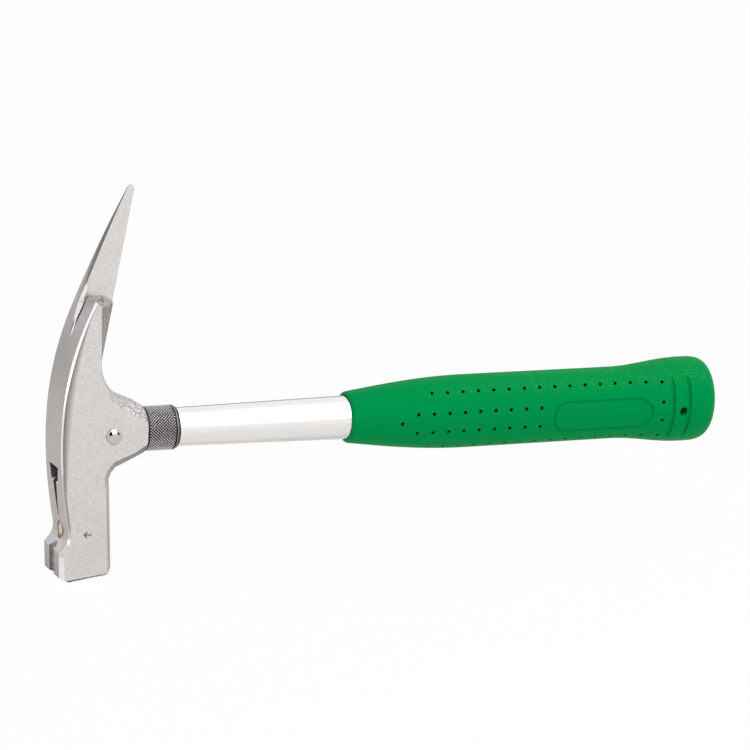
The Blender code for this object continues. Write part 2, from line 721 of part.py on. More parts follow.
def make_rivet(handle_axis, finish):
    seat = rivet_seat() + GAP
    rim = seat + RIVET_RIM
    angles = spaced(0.0, math.pi / 2, ARC_STEPS)
    dome = [(rim + RIVET_DOME * math.sin(a), RIVET_HEAD / 2 * math.cos(a)) for a in angles]
    half = [(seat, RIVET_SHANK / 2), (seat, RIVET_HEAD / 2), *dome]
    profile = [(-y, r) for y, r in reversed(half)] + half
    bm = turn(profile, SMALL_SEGMENTS, "Y")
    bmesh.ops.translate(bm, verts=bm.verts, vec=(RIVET_AT, 0, 0))
    place("cross_rivet", bm, handle_axis, finish)


def tube_radius(s):
    share = (s - TUBE_TAPER_START) / (GRIP_START - TUBE_TAPER_START)
    return mix(TUBE_HEAD_DIAMETER, TUBE_GRIP_DIAMETER, share) / 2


TUBE_START = SOCKET_FLOOR + GAP


def make_tube(handle_axis, finish):
    stations = (TUBE_START, TUBE_TAPER_START, GRIP_START, TUBE_END)
    outer = [(s, tube_radius(s)) for s in stations]
    inner = [(s, r - TUBE_WALL) for s, r in reversed(outer)]
    tube = place("handle_tube", turn(outer + inner, TURN_SEGMENTS), handle_axis, finish)
    boolean(tube, "DIFFERENCE", place("tube_rivet_hole_cut", rivet_bore(), handle_axis))


def make_core(handle_axis, finish):
    radius = TUBE_HEAD_DIAMETER / 2 - TUBE_WALL - GAP
    filling = rod(TUBE_START, TUBE_START + CORE_LENGTH, radius, SMALL_SEGMENTS)
    core = place("core_plug", filling, handle_axis, finish)
    boolean(core, "DIFFERENCE", place("core_rivet_hole_cut", rivet_bore(), handle_axis))


def make_collar(handle_axis, finish):
    start, end = BOSS_END + GAP, BOSS_END + GAP + COLLAR_LENGTH
    outer = COLLAR_DIAMETER / 2
    bore = tube_radius(end) + GAP
    profile = (
        (start, bore),
        (start, outer - COLLAR_EDGE),
        (start + COLLAR_EDGE, outer),
        (end - COLLAR_NOSE, outer),
        (end, outer - COLLAR_NOSE_DEPTH),
        (end, bore),
    )
    place("knurled_collar", turn(profile, TURN_SEGMENTS), handle_axis, finish)


def make_end_plug(handle_axis, finish):
    flange = TUBE_GRIP_DIAMETER / 2
    stem = flange - TUBE_WALL - GAP
    seat = TUBE_END + GAP
    profile = (
        (TUBE_END - PLUG_LENGTH, 0.0),
        (TUBE_END - PLUG_LENGTH, stem),
        (seat, stem),
        (seat, flange),
        (seat + PLUG_FLANGE, flange),
        (seat + PLUG_FLANGE, 0.0),
    )
    place("end_plug", turn(profile, SMALL_SEGMENTS), handle_axis, finish)


def grip_half_height(u):
    """Half the grip's height at a distance from its mouth: belly, waist and flared butt."""
    mouth, belly, waist, butt = (
        height / 2 for height in (GRIP_MOUTH_HEIGHT, GRIP_BELLY_HEIGHT, GRIP_WAIST_HEIGHT, GRIP_BUTT_HEIGHT)
    )
    butt_at = GRIP_LENGTH - GRIP_BUTT_ROUND
    if u < GRIP_BELLY_AT:
        return mix(mouth, belly, math.sin(math.pi / 2 * u / GRIP_BELLY_AT))
    if u < GRIP_WAIST_AT:
        return mix(belly, waist, eased((u - GRIP_BELLY_AT) / (GRIP_WAIST_AT - GRIP_BELLY_AT)))
    if u < butt_at:
        return mix(waist, butt, eased((u - GRIP_WAIST_AT) / (butt_at - GRIP_WAIST_AT)))
    power = GRIP_BUTT_SQUARENESS
    return butt * max(0.0, 1 - ((u - butt_at) / GRIP_BUTT_ROUND) ** power) ** (1 / power)


def eased(share):
    return (1 - math.cos(math.pi * share)) / 2


def grip_half_width(u):
    return grip_half_height(u) * mix(1.0, GRIP_WIDTH_SHARE, u / GRIP_BELLY_AT)


def groove_sink(u, angle):
    """Depth of the finger grooves, which cross both sides of the butt and end short of its top and bottom."""
    nearest = min(abs(u - groove) for groove in GROOVE_POSITIONS)
    if nearest >= GROOVE_WIDTH / 2:
        return 0.0
    share = min(1.0, max(0.0, (math.cos(angle) ** 2 - GROOVE_FADE) / GROOVE_FADE_RANGE))
    return GROOVE_DEPTH * math.cos(math.pi * nearest / GROOVE_WIDTH) * share


def grip_loop(u, shrink=0.0):
    loop = []
    for i in range(GRIP_SEGMENTS):
        angle = math.tau * i / GRIP_SEGMENTS
        sink = groove_sink(u, angle) + shrink
        y = (grip_half_width(u) - sink) * math.cos(angle)
        z = (grip_half_height(u) - sink) * math.sin(angle)
        loop.append((GRIP_START + u, y, z))
    return loop


def make_grip(handle_axis, finish):
    butt_at = GRIP_LENGTH - GRIP_BUTT_ROUND
    half_groove = GROOVE_WIDTH / 2
    stations = sorted(
        [
            *spaced(GRIP_MOUTH_ROUND, GRIP_BELLY_AT, ARC_STEPS),
            *spaced(GRIP_BELLY_AT, GRIP_WAIST_AT, ARC_STEPS // 2)[1:],
            *spaced(GRIP_WAIST_AT, GROOVE_POSITIONS[0] - GROOVE_WIDTH, ARC_STEPS // 2)[1:],
            *(u for at in GROOVE_POSITIONS for u in spaced(at - half_groove, at + half_groove, GROOVE_STEPS)),
            *(butt_at + GRIP_BUTT_ROUND * math.sin(a) for a in spaced(0.0, GRIP_BUTT_ARC, ARC_STEPS)),
        ]
    )
    sections = [grip_loop(0.0, GRIP_MOUTH_ROUND), *(grip_loop(u) for u in stations)]
    grip = place("grip", loft(sections), handle_axis, finish)

    bore_end = TUBE_END + PLUG_FLANGE + 2 * GAP
    bore = rod(GRIP_START - OVERCUT, bore_end, TUBE_GRIP_DIAMETER / 2 + GAP, BORE_SEGMENTS)
    hole_at = (GRIP_END - HANGING_HOLE_TO_BUTT, 0, -HANGING_HOLE_BELOW_AXIS)
    hole = rod(-GRIP_BUTT_HEIGHT, GRIP_BUTT_HEIGHT, HANGING_HOLE / 2, SMALL_SEGMENTS, "Y", hole_at)
    boolean(
        grip,
        "DIFFERENCE",
        place("grip_bore_cut", bore, handle_axis),
        place("hanging_hole_cut", hole, handle_axis),
        place("dimple_cut", dimples(), handle_axis),
    )


def dimples():
    """Every dimple's cutter: a short cone square to the grip's surface, in mirrored rows on both sides."""
    bm = bmesh.new()
    for height, columns in DIMPLE_ROWS:
        for column in columns:
            u = DIMPLE_FIRST + column * DIMPLE_PITCH
            half_height, half_width = grip_half_height(u), grip_half_width(u)
            angle = math.asin(max(-1.0, min(1.0, height / half_height)))
            for side in (-1, 1):
                y, z = side * math.cos(angle), math.sin(angle)
                point = Vector((GRIP_START + u, half_width * y, half_height * z))
                outwards = Vector((0.0, y / half_width, z / half_height))
                turned = outwards.to_track_quat("Z", "Y").to_matrix().to_4x4()
                bmesh.ops.create_cone(
                    bm,
                    cap_ends=True,
                    segments=DIMPLE_SEGMENTS,
                    radius1=DIMPLE_FLOOR / 2,
                    radius2=DIMPLE_DIAMETER - DIMPLE_FLOOR / 2,
                    depth=2 * DIMPLE_DEPTH,
                    matrix=Matrix.Translation(point) @ turned,
                )
    return bm


def main():
    clear_scene()
    ground_steel = material("ground_steel", (0.60, 0.58, 0.57), 1.0, 0.34)
    polished_steel = material("polished_steel", (0.78, 0.77, 0.76), 1.0, 0.12)
    chrome = material("chrome", (0.82, 0.82, 0.83), 1.0, 0.10)
    blackened_steel = material("blackened_steel", (0.10, 0.10, 0.10), 0.9, 0.45)
    copper = material("copper", (0.62, 0.40, 0.26), 1.0, 0.35)
    nickel = material("nickel", (0.66, 0.66, 0.66), 1.0, 0.25)
    green_grip = material("green_grip", (0.0, 0.26, 0.07), 0.0, 0.45)
    beech = material("beech", (0.52, 0.36, 0.20), 0.0, 0.6)
    black_plastic = material("black_plastic", (0.02, 0.02, 0.02), 0.0, 0.5)

    head_axis = axis_empty("head_axis", HEAD_RAKE)
    handle_axis = axis_empty("handle_axis", 0.0)
    make_head(head_axis, handle_axis, ground_steel)
    make_magnet(head_axis, copper, nickel)
    make_rivet(handle_axis, polished_steel)
    make_collar(handle_axis, blackened_steel)
    make_tube(handle_axis, chrome)
    make_core(handle_axis, beech)
    make_end_plug(handle_axis, black_plastic)
    make_grip(handle_axis, green_grip)


main()
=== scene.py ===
import math

import bmesh
import bpy
from mathutils import Matrix, Vector


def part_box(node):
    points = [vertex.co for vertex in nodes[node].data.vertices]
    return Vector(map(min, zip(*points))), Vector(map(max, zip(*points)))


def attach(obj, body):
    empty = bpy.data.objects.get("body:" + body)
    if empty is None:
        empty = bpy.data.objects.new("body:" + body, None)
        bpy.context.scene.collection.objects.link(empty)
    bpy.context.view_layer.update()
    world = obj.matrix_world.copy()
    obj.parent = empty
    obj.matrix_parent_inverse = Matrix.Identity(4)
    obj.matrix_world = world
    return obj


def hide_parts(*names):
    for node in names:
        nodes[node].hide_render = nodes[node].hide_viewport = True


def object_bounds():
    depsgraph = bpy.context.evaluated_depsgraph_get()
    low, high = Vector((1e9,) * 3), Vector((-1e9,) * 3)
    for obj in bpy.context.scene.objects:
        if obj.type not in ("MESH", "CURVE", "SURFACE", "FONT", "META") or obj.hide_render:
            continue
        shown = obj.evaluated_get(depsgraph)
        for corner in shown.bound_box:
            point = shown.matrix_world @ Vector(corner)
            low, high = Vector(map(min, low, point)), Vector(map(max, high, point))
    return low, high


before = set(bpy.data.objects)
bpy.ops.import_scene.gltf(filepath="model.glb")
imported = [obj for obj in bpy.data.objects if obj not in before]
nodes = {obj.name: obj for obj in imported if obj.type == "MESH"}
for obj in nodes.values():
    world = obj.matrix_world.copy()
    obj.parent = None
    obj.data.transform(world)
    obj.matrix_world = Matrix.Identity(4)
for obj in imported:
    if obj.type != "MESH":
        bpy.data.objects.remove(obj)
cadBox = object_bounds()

scene = bpy.context.scene
mm = 0.001

# the head leans 2.8 degrees; its own frame starts where the post meets the handle axis
crossing = Vector((-1.771, 0.0, 65.89)) * mm
headLean = Matrix.Rotation(math.radians(-2.8), 4, "Y")
headToWorld = Matrix.Translation(crossing) @ headLean
worldToHead = headToWorld.inverted()


def placedPiece(name, mesh, smoothAngle):
    mesh.shade_smooth()
    mesh.set_sharp_from_angle(angle=math.radians(smoothAngle))
    piece = bpy.data.objects.new(name, mesh)
    scene.collection.objects.link(piece)
    return piece


def meshPiece(name, bm, smoothAngle=35.0):
    bmesh.ops.remove_doubles(bm, verts=bm.verts, dist=1e-7)
    bmesh.ops.recalc_face_normals(bm, faces=bm.faces)
    mesh = bpy.data.meshes.new(name)
    bm.to_mesh(mesh)
    bm.free()
    return placedPiece(name, mesh, smoothAngle)


def bakedPiece(source, name, smoothAngle):
    # the evaluated result becomes a plain mesh, and the source with its modifiers goes
    bpy.context.view_layer.update()
    evaluated = source.evaluated_get(bpy.context.evaluated_depsgraph_get())
    mesh = bpy.data.meshes.new_from_object(evaluated)
    mesh.name = name
    bpy.data.objects.remove(source, do_unlink=True)
    return placedPiece(name, mesh, smoothAngle)


def turned(profile, segments, axis="X"):
    bm = bmesh.new()
    along = Vector((1, 0, 0)) if axis == "X" else Vector((0, 1, 0))
    verts = [bm.verts.new(along * s + Vector((0, 0, r))) for s, r in profile]
    edges = [bm.edges.new((verts[i - 1], verts[i])) for i in range(len(verts))]
    bmesh.ops.spin(bm, geom=verts + edges, cent=(0, 0, 0), axis=along, angle=math.tau, steps=segments,
                   use_merge=True)
    bmesh.ops.remove_doubles(bm, verts=bm.verts, dist=1e-6)
    bmesh.ops.dissolve_degenerate(bm, edges=bm.edges, dist=1e-7)
    return bm


def rod(start, end, radius, segments):
    return turned(((start, 0.0), (start, radius), (end, radius), (end, 0.0)), segments)


def lofted(rings):
    bm = bmesh.new()
    loops = [[bm.verts.new(p) for p in ring] for ring in rings]
    for low, high in zip(loops, loops[1:]):
        for i in range(len(low)):
            j = (i + 1) % len(low)
            bm.faces.new((low[i], low[j], high[j], high[i]))
    bm.faces.new(loops[0])
    bm.faces.new(loops[-1])
    return bm


def mixed(a, b, share):
    return a + (b - a) * min(max(share, 0.0), 1.0)


def eased(share):
    return (1 - math.cos(math.pi * min(max(share, 0.0), 1.0))) / 2


def reshaped(piece, cutters, name, fillers=(), smoothAngle=38.0):
    # the fillers are joined to the piece, and then the cutters take their shapes out of it
    others = [(filler, "UNION") for filler in fillers] + [(cutter, "DIFFERENCE") for cutter in cutters]
    for other, operation in others:
        modifier = piece.modifiers.new(other.name, "BOOLEAN")
        modifier.operation = operation
        modifier.object = other
        modifier.solver = "EXACT"
    made = bakedPiece(piece, name, smoothAngle)
    for other, operation in others:
        bpy.data.objects.remove(other, do_unlink=True)
    return made


def finishPiece(piece, cadNode, slotName, *materials):
    for material in materials:
        piece.data.materials.append(material)
    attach(piece, "root")
    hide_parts(cadNode)


def feed(tree, made, inputs):
    # a socket is linked to the input, anything else is its value
    for key, value in inputs.items():
        if isinstance(value, bpy.types.NodeSocket):
            tree.links.new(value, made.inputs[key])
        else:
            made.inputs[key].default_value = value


def node(tree, kind, inputs=None, **settings):
    made = tree.nodes.new(kind)
    for key, value in settings.items():
        setattr(made, key, value)
    feed(tree, made, inputs or {})
    return made


def mathNode(tree, operation, *values, clamp=False):
    made = node(tree, "ShaderNodeMath", dict(enumerate(values)), operation=operation, use_clamp=clamp)
    return made.outputs[0]


def plus(tree, a, b, clamp=False):
    return mathNode(tree, "ADD", a, b, clamp=clamp)


def minus(tree, a, b, clamp=False):
    return mathNode(tree, "SUBTRACT", a, b, clamp=clamp)


def times(tree, a, b):
    return mathNode(tree, "MULTIPLY", a, b)


def over(tree, a, b, clamp=False):
    return mathNode(tree, "DIVIDE", a, b, clamp=clamp)


def colourMix(tree, share, *colours):
    first, second = ((*colour, 1.0) if isinstance(colour, tuple) else colour for colour in colours)
    return node(tree, "ShaderNodeMix", {0: share, 6: first, 7: second}, data_type="RGBA").outputs[2]


def ranged(tree, value, low, high, toLow=0.0, toHigh=1.0, smooth=False):
    limits = dict(enumerate((value, low, high, toLow, toHigh)))
    kind = "SMOOTHSTEP" if smooth else "LINEAR"
    return node(tree, "ShaderNodeMapRange", limits, interpolation_type=kind).outputs[0]


def objectPlace(tree):
    return node(tree, "ShaderNodeTexCoord").outputs["Object"]


def split(tree, vector):
    return node(tree, "ShaderNodeSeparateXYZ", {0: vector}).outputs


def vectorNode(tree, operation, a, b):
    return node(tree, "ShaderNodeVectorMath", {0: a, 1: b}, operation=operation).outputs


def noise(tree, place, scale, detail, roughness=0.5):
    inputs = {"Vector": place, "Scale": scale, "Detail": detail, "Roughness": roughness}
    return node(tree, "ShaderNodeTexNoise", inputs).outputs[0]


def newGroup(name, inputs, outputs):
    tree = bpy.data.node_groups.new(name, "ShaderNodeTree")
    for label, value in inputs.items():
        kind = "NodeSocketVector" if isinstance(value, tuple) else "NodeSocketFloat"
        tree.interface.new_socket(label, in_out="INPUT", socket_type=kind).default_value = value
    for label in outputs:
        tree.interface.new_socket(label, in_out="OUTPUT", socket_type="NodeSocketFloat")
    return tree, node(tree, "NodeGroupInput").outputs, node(tree, "NodeGroupOutput")


def groupNode(tree, group, **values):
    return node(tree, "ShaderNodeGroup", values, node_tree=group).outputs


def buildGrindGrain():
    # long fine scratches along one direction, as a grinding belt leaves them
    tree, given, out = newGroup("grindGrain", {"Stretch": (40.0, 700.0, 700.0), "Detail": 6.0},
                                ("Grain", "Cloud"))
    place = objectPlace(tree)
    stretched = vectorNode(tree, "MULTIPLY", place, given["Stretch"])[0]
    feed(tree, out, {
        "Grain": noise(tree, stretched, scale=1.0, detail=given["Detail"], roughness=0.62),
        "Cloud": noise(tree, place, scale=90.0, detail=4.0)})
    return tree


def buildForgedSkin():
    # speckled skin of forged scale with small pits
    tree, given, out = newGroup("forgedSkin", {"Scale": 1500.0}, ("Speckle", "Height"))
    place = objectPlace(tree)
    skin = noise(tree, place, scale=given["Scale"], detail=3.0, roughness=0.7)
    speckle = ranged(tree, skin, 0.36, 0.64)
    pitScale = times(tree, given["Scale"], 0.6)
    pits = node(tree, "ShaderNodeTexVoronoi", {"Vector": place, "Scale": pitScale}, feature="F1")
    feed(tree, out, {"Speckle": speckle, "Height": plus(tree, speckle, pits.outputs["Distance"])})
    return tree


def buildMouldGrain():
    # fine leather-like grain of the moulded grip, and its spots for painted glints
    tree, given, out = newGroup("mouldGrain", {"Scale": 1400.0}, ("Height", "Glint"))
    place = objectPlace(tree)
    cells = node(tree, "ShaderNodeTexVoronoi", {"Vector": place, "Scale": given["Scale"], "Smoothness": 0.6},
                 feature="SMOOTH_F1")
    grain = noise(tree, place, scale=given["Scale"], detail=4.0)
    feed(tree, out, {
        "Height": plus(tree, cells.outputs["Distance"], grain), "Glint": ranged(tree, grain, 0.55, 0.72)})
    return tree


grindGrain = buildGrindGrain()
forgedSkin = buildForgedSkin()
mouldGrain = buildMouldGrain()
print("shader groups ready")


steelLook = {
    "grainRange": (0.3, 0.7), "streak": 0.9, "cloud": 0.1, "groundSpread": 0.06, "groundDepth": 0.05 * mm,
    "forgedSpread": 0.1, "forgedBump": 0.6, "forgedDepth": 0.1 * mm,
}


def newMaterial(name):
    material = bpy.data.materials.new(name)
    material.use_nodes = True
    tree = material.node_tree
    return material, tree, tree.nodes["Principled BSDF"]


def bumped(tree, shader, height, strength, distance):
    bump = node(tree, "ShaderNodeBump", {"Height": height, "Strength": strength, "Distance": distance})
    feed(tree, shader, {"Normal": bump.outputs["Normal"]})


def groundMaterial(name, light, dark, roughness, stretch, bump=0.12):
    look, spread = steelLook, steelLook["groundSpread"]
    material, tree, shader = newMaterial(name)
    grain = groupNode(tree, grindGrain, Stretch=stretch)
    streak = ranged(tree, grain["Grain"], *look["grainRange"], 0.0, look["streak"])
    cloud = ranged(tree, grain["Cloud"], *look["grainRange"], 0.0, look["cloud"])
    feed(tree, shader, {
        "Base Color": colourMix(tree, plus(tree, streak, cloud, clamp=True), dark, light),
        "Roughness": ranged(tree, grain["Grain"], *look["grainRange"], roughness + spread,
                            roughness - spread),
        "Metallic": 1.0})
    bumped(tree, shader, grain["Grain"], bump, look["groundDepth"])
    return material


def forgedMaterial(name, light, dark, roughness, scale=1500.0, metallic=0.85):
    look, spread = steelLook, steelLook["forgedSpread"]
    material, tree, shader = newMaterial(name)
    skin = groupNode(tree, forgedSkin, Scale=scale)
    feed(tree, shader, {
        "Base Color": colourMix(tree, skin["Speckle"], dark, light),
        "Roughness": ranged(tree, skin["Speckle"], 0.0, 1.0, roughness + spread, roughness - spread),
        "Metallic": metallic})
    bumped(tree, shader, skin["Height"], look["forgedBump"], look["forgedDepth"])
    return material


headShape = {  # the forging's outline in its own frame: along, across and up, in millimetres
    "upperArc": 172.0, "lowerArc": 240.0, "arcsMeet": -7.5, "frontReach": 12.1,
    "shoulderAlong": 9.8, "shoulderUp": 52.6, "shoulderArc": 9.85, "shoulderFrom": 4.4, "shoulderTo": 17.3,
    "wallLine": (-0.99, 49.5), "wallLean": (0.89, -0.456),  # the notch's far wall is bright before it
    "rimHalf": 11.4, "sideTaper": 0.064, "faceLean": math.asin(0.0993),
}

# the ground steels are one steel in lighter and darker copies by zone: edge, lip and sliver are painted
# highlights; front, back and rim are painted shade; cavity is forged skin darkened as painted shade in
# hollows
headLook = {
    "sideLight": (0.89, 0.86, 0.845), "sideDark": (0.50, 0.48, 0.47), "sideRoughness": 0.38,
    "frontLight": (0.64, 0.605, 0.595), "frontDark": (0.49, 0.465, 0.455), "frontRoughness": 0.40,
    "edgeLight": (0.97, 0.965, 0.96), "edgeDark": (0.90, 0.89, 0.885), "edgeRoughness": 0.24,
    "forgedLight": (0.52, 0.48, 0.47), "forgedDark": (0.17, 0.155, 0.15), "forgedRoughness": 0.6,
    "neckLight": (0.80, 0.76, 0.75), "neckDark": (0.26, 0.245, 0.24),
    "flankLight": (0.44, 0.405, 0.40), "flankDark": (0.10, 0.09, 0.087),
    "flankScale": 1000.0, "flankMetallic": (0.85, 0.3), "flankRoughness": (0.62, 0.44),
    "cavityLight": (0.30, 0.29, 0.285), "cavityDark": (0.05, 0.05, 0.05), "cavityRoughness": 0.65,
    "backLight": (0.58, 0.55, 0.54), "backDark": (0.50, 0.475, 0.465), "backRoughness": 0.40,
    "lipLight": (0.97, 0.965, 0.96), "lipDark": (0.88, 0.87, 0.865), "lipRoughness": 0.3,
    "archLight": (0.72, 0.67, 0.66), "archDark": (0.34, 0.315, 0.31), "archRoughness": 0.55,
    "sliverLight": (0.82, 0.79, 0.78), "sliverDark": (0.75, 0.72, 0.71), "sliverRoughness": 0.3,
    "rimLight": (0.17, 0.16, 0.155), "rimDark": (0.09, 0.085, 0.08), "rimRoughness": 0.45,
    "underShade": (0.31, 0.29, 0.285), "bandShade": (0.235, 0.222, 0.216), "hornShade": (0.42, 0.40, 0.39),
    "rimShade": (0.09, 0.085, 0.083), "spikeShade": (0.10, 0.095, 0.09), "postEdgeShade": (0.62, 0.60, 0.595),
    "softAngle": 20.0, "roundAngle": 40.0,
    "teeth": 10, "toothPitch": 1.4 * mm, "toothReach": 0.68 * mm, "toothLength": 5.0 * mm,
    "toothFoot": (-1.6, -1.75, 47.5), "toothWay": (0.38, -0.161, 1.0),
    "farEdges": (  # name, half width, low end and high end of each bar
        ("edgeBarLow", 0.7 * mm, (-3.6, -0.98, 45.0), (1.3, 0.25, 58.5)),
        ("edgeBarMiddle", 1.8 * mm, (-2.08, -0.91, 52.0), (1.75, 0.42, 60.1)),
        ("edgeBarHigh", 1.8 * mm, (1.65, 0.41, 59.9), (4.46, 0.23, 68.0)),
    ),
    "lipUp": -20.5, "lipEdge": 1.2 * mm, "lipLength": 8.4 * mm,
    "waffleLines": 11, "wafflePitch": 2.2 * mm, "waffleDepth": 0.5 * mm, "waffleReach": 40.0 * mm,
}

bandSize = {  # where the shades of the head begin and end, in millimetres in its own frame
    "spikeUp": (56.6, 156.6), "spikeAcross": (0.1, 9.1), "spikeRise": (58.0, 72.0),
    "setbackUp": 8.0, "setbackRun": 54.0, "setback": 3.2, "bellyUp": 14.0, "bellyRun": 40.0, "thinLine": 0.6,
    "bevelTop": (56.0, 62.0), "bevelFoot": (-44.0, -40.0), "rearSoft": (-0.06, 0.06),
    "rearFoot": (-25.0, -8.0), "rearFootFrom": (0.38, 0.68), "rearFootShare": (0.6, 1.0),
    "rearTop": (20.0, 45.0), "rearTopFrom": (0.0, 0.2),
}


def buildHeadPlace():
    # place along, across and up the head's own frame, in millimetres
    tree, _, out = newGroup("headPlace", {}, ("Along", "Across", "Up"))
    toHead = node(tree, "ShaderNodeMapping", {
        "Vector": objectPlace(tree), "Location": crossing, "Rotation": headLean.to_euler(),
        "Scale": (mm, mm, mm)}, vector_type="TEXTURE")
    place = split(tree, toHead.outputs[0])
    feed(tree, out, {"Along": place["X"], "Across": place["Y"], "Up": place["Z"]})
    return tree


headPlace = buildHeadPlace()


def buildUpBand():
    # mask that is 1 between two heights of the head
    tree, given, out = newGroup("upBand", {"Bottom": -50.0, "Top": 50.0, "Soft": 4.0}, ("Mask",))
    up = groupNode(tree, headPlace)["Up"]
    ends = [plus(tree, over(tree, minus(tree, high, low), given["Soft"]), 0.5, clamp=True)
            for high, low in ((up, given["Bottom"]), (given["Top"], up))]
    feed(tree, out, {"Mask": times(tree, *ends)})
    return tree


def buildSpikeBand():
    # mask that is 1 where the spike's front meets its near side, and fades across the front
    tree, given, out = newGroup("spikeBand", {"Width": 5.0}, ("Mask",))
    place = groupNode(tree, headPlace)
    nearSide = ranged(tree, place["Up"], *bandSize["spikeUp"], *bandSize["spikeAcross"])
    inward = over(tree, minus(tree, place["Across"], nearSide), given["Width"])
    fade = ranged(tree, inward, 0.0, 1.0, 1.0, 0.0, True)
    feed(tree, out, {"Mask": times(tree, fade, ranged(tree, place["Up"], *bandSize["spikeRise"]))})
    return tree


def buildEdgeBand():
    # masks along the bevel of the near side: a painted shade that fades behind it, and painted shade on the
    # bevel's rear part
    size, shape = bandSize, headShape
    tree, given, out = newGroup("edgeBand", {"Width": 3.2, "Start": 0.95}, ("Fade", "Rear"))
    place = groupNode(tree, headPlace)
    z = place["Up"]

    def squared(value):
        return times(tree, value, value)

    # how far the place lies behind the head's front line, which draws back towards the horn
    rise = minus(tree, z, shape["arcsMeet"])
    isLower = mathNode(tree, "LESS_THAN", rise, 0.0)
    radius = plus(tree, times(tree, isLower, shape["lowerArc"] - shape["upperArc"]), shape["upperArc"])
    reach = mathNode(tree, "SQRT", minus(tree, squared(radius), squared(rise)))
    outline = minus(tree, minus(tree, radius, shape["frontReach"]), reach)
    above = mathNode(tree, "MAXIMUM", over(tree, minus(tree, z, size["setbackUp"]), size["setbackRun"]), 0.0)
    setback = times(tree, squared(above), size["setback"])
    depth = minus(tree, minus(tree, place["Along"], outline), setback)
    # the shade is widest at the middle of the head and a thin line at its ends
    fromMiddle = over(tree, minus(tree, z, size["bellyUp"]), size["bellyRun"])
    belly = minus(tree, 1.0, squared(fromMiddle), clamp=True)
    width = plus(tree, times(tree, belly, given["Width"]), size["thinLine"])
    past = over(tree, minus(tree, depth, given["Start"]), width)
    inside = times(tree, ranged(tree, z, *size["bevelTop"], 1.0, 0.0), ranged(tree, z, *size["bevelFoot"]))
    fade = times(tree, ranged(tree, past, 0.0, 1.0, 1.0, 0.0), inside)
    begins = plus(tree, ranged(tree, z, *size["rearFoot"], *size["rearFootFrom"]),
                  ranged(tree, z, *size["rearTop"], *size["rearTopFrom"]))
    rear = ranged(tree, minus(tree, depth, begins), *size["rearSoft"])
    strength = times(tree, inside, ranged(tree, z, *size["rearFoot"], *size["rearFootShare"]))
    feed(tree, out, {"Fade": fade, "Rear": times(tree, rear, strength)})
    return tree


def buildFaceBand():
    # mask of painted shade along the rim of the striking face
    tree, given, out = newGroup("faceBand", {"Width": 1.15, "Soft": 0.35}, ("Mask",))
    place = split(tree, objectPlace(tree))
    faceUp = times(tree, place["X"], math.tan(headShape["faceLean"]))
    height = over(tree, minus(tree, place["Z"], faceUp), mm)
    left = minus(tree, given["Width"], height)
    feed(tree, out, {"Mask": over(tree, left, given["Soft"], clamp=True)})
    return tree


upBand, spikeBand, edgeBand, faceBand = buildUpBand(), buildSpikeBand(), buildEdgeBand(), buildFaceBand()


def shadeBand(material, group, mask, colour, share, limits):
    # a painted shade where the group's mask says so, over the colour that the material has
    tree = material.node_tree
    shader = tree.nodes["Principled BSDF"]
    base = shader.inputs["Base Color"].links[0].from_socket
    part = times(tree, groupNode(tree, group, **limits)[mask], share)
    feed(tree, shader, {"Base Color": colourMix(tree, part, base, colour)})


def headSteel(make, key, **details):
    colours = headLook[key + "Light"], headLook[key + "Dark"]
    return make(key + "Steel", *colours, headLook[key + "Roughness"], **details)


def flankMaterial():
    # light forged skin on the neck, darker on the flank of the horn, one running into the other
    look = headLook
    material, tree, shader = newMaterial("flankSteel")
    skin = groupNode(tree, forgedSkin, Scale=look["flankScale"])
    high = groupNode(tree, upBand, Bottom=31.0, Top=72.0, Soft=14.0)["Mask"]
    neck = colourMix(tree, skin["Speckle"], look["neckDark"], look["neckLight"])
    flank = colourMix(tree, skin["Speckle"], look["flankDark"], look["flankLight"])
    feed(tree, shader, {
        "Base Color": colourMix(tree, high, neck, flank),
        "Metallic": ranged(tree, high, 0.0, 1.0, *look["flankMetallic"]),
        "Roughness": ranged(tree, skin["Speckle"], 0.0, 1.0, *look["flankRoughness"])})
    bumped(tree, shader, skin["Height"], steelLook["forgedBump"], steelLook["forgedDepth"])
    return material


headMaterials = {
    "side": headSteel(groundMaterial, "side", stretch=(500.0, 5200.0, 5200.0)),
    "front": headSteel(groundMaterial, "front", stretch=(2400.0, 260.0, 2400.0)),
    "edge": headSteel(groundMaterial, "edge", stretch=(400.0, 400.0, 60.0), bump=0.05),
    "lip": headSteel(groundMaterial, "lip", stretch=(400.0, 400.0, 400.0), bump=0.05),
    "forged": headSteel(forgedMaterial, "forged", scale=1300.0, metallic=0.3),
    "sliver": headSteel(groundMaterial, "sliver", stretch=(400.0, 400.0, 400.0), bump=0.05),
    "rim": headSteel(groundMaterial, "rim", stretch=(1400.0, 1400.0, 1400.0)),
    "arch": headSteel(forgedMaterial, "arch", scale=1900.0, metallic=0.3),
    "neck": flankMaterial(),
    "cavity": headSteel(forgedMaterial, "cavity"),
    "back": headSteel(groundMaterial, "back", stretch=(1400.0, 1400.0, 240.0)),
}
# painted shades over the head's steels, the grey on the bevel at the post among them
for steel, group, mask, colour, share, limits in (
    ("side", edgeBand, "Fade", "bandShade", 1.0, {}),
    ("front", upBand, "Mask", "hornShade", 0.7, {"Bottom": 24.0, "Top": 200.0, "Soft": 24.0}),
    ("front", spikeBand, "Mask", "spikeShade", 0.85, {}),
    ("edge", upBand, "Mask", "postEdgeShade", 0.9, {"Bottom": -54.0, "Top": -16.0, "Soft": 3.0}),
    ("edge", edgeBand, "Rear", "bandShade", 1.0, {}),
    ("back", upBand, "Mask", "underShade", 1.0, {"Bottom": -16.5, "Top": 200.0, "Soft": 9.0}),
    ("side", faceBand, "Mask", "rimShade", 0.9, {}),
    ("front", faceBand, "Mask", "rimShade", 0.9, {}),
    ("edge", faceBand, "Mask", "rimShade", 0.9, {}),
):
    shadeBand(headMaterials[steel], group, mask, headLook[colour], share, limits)


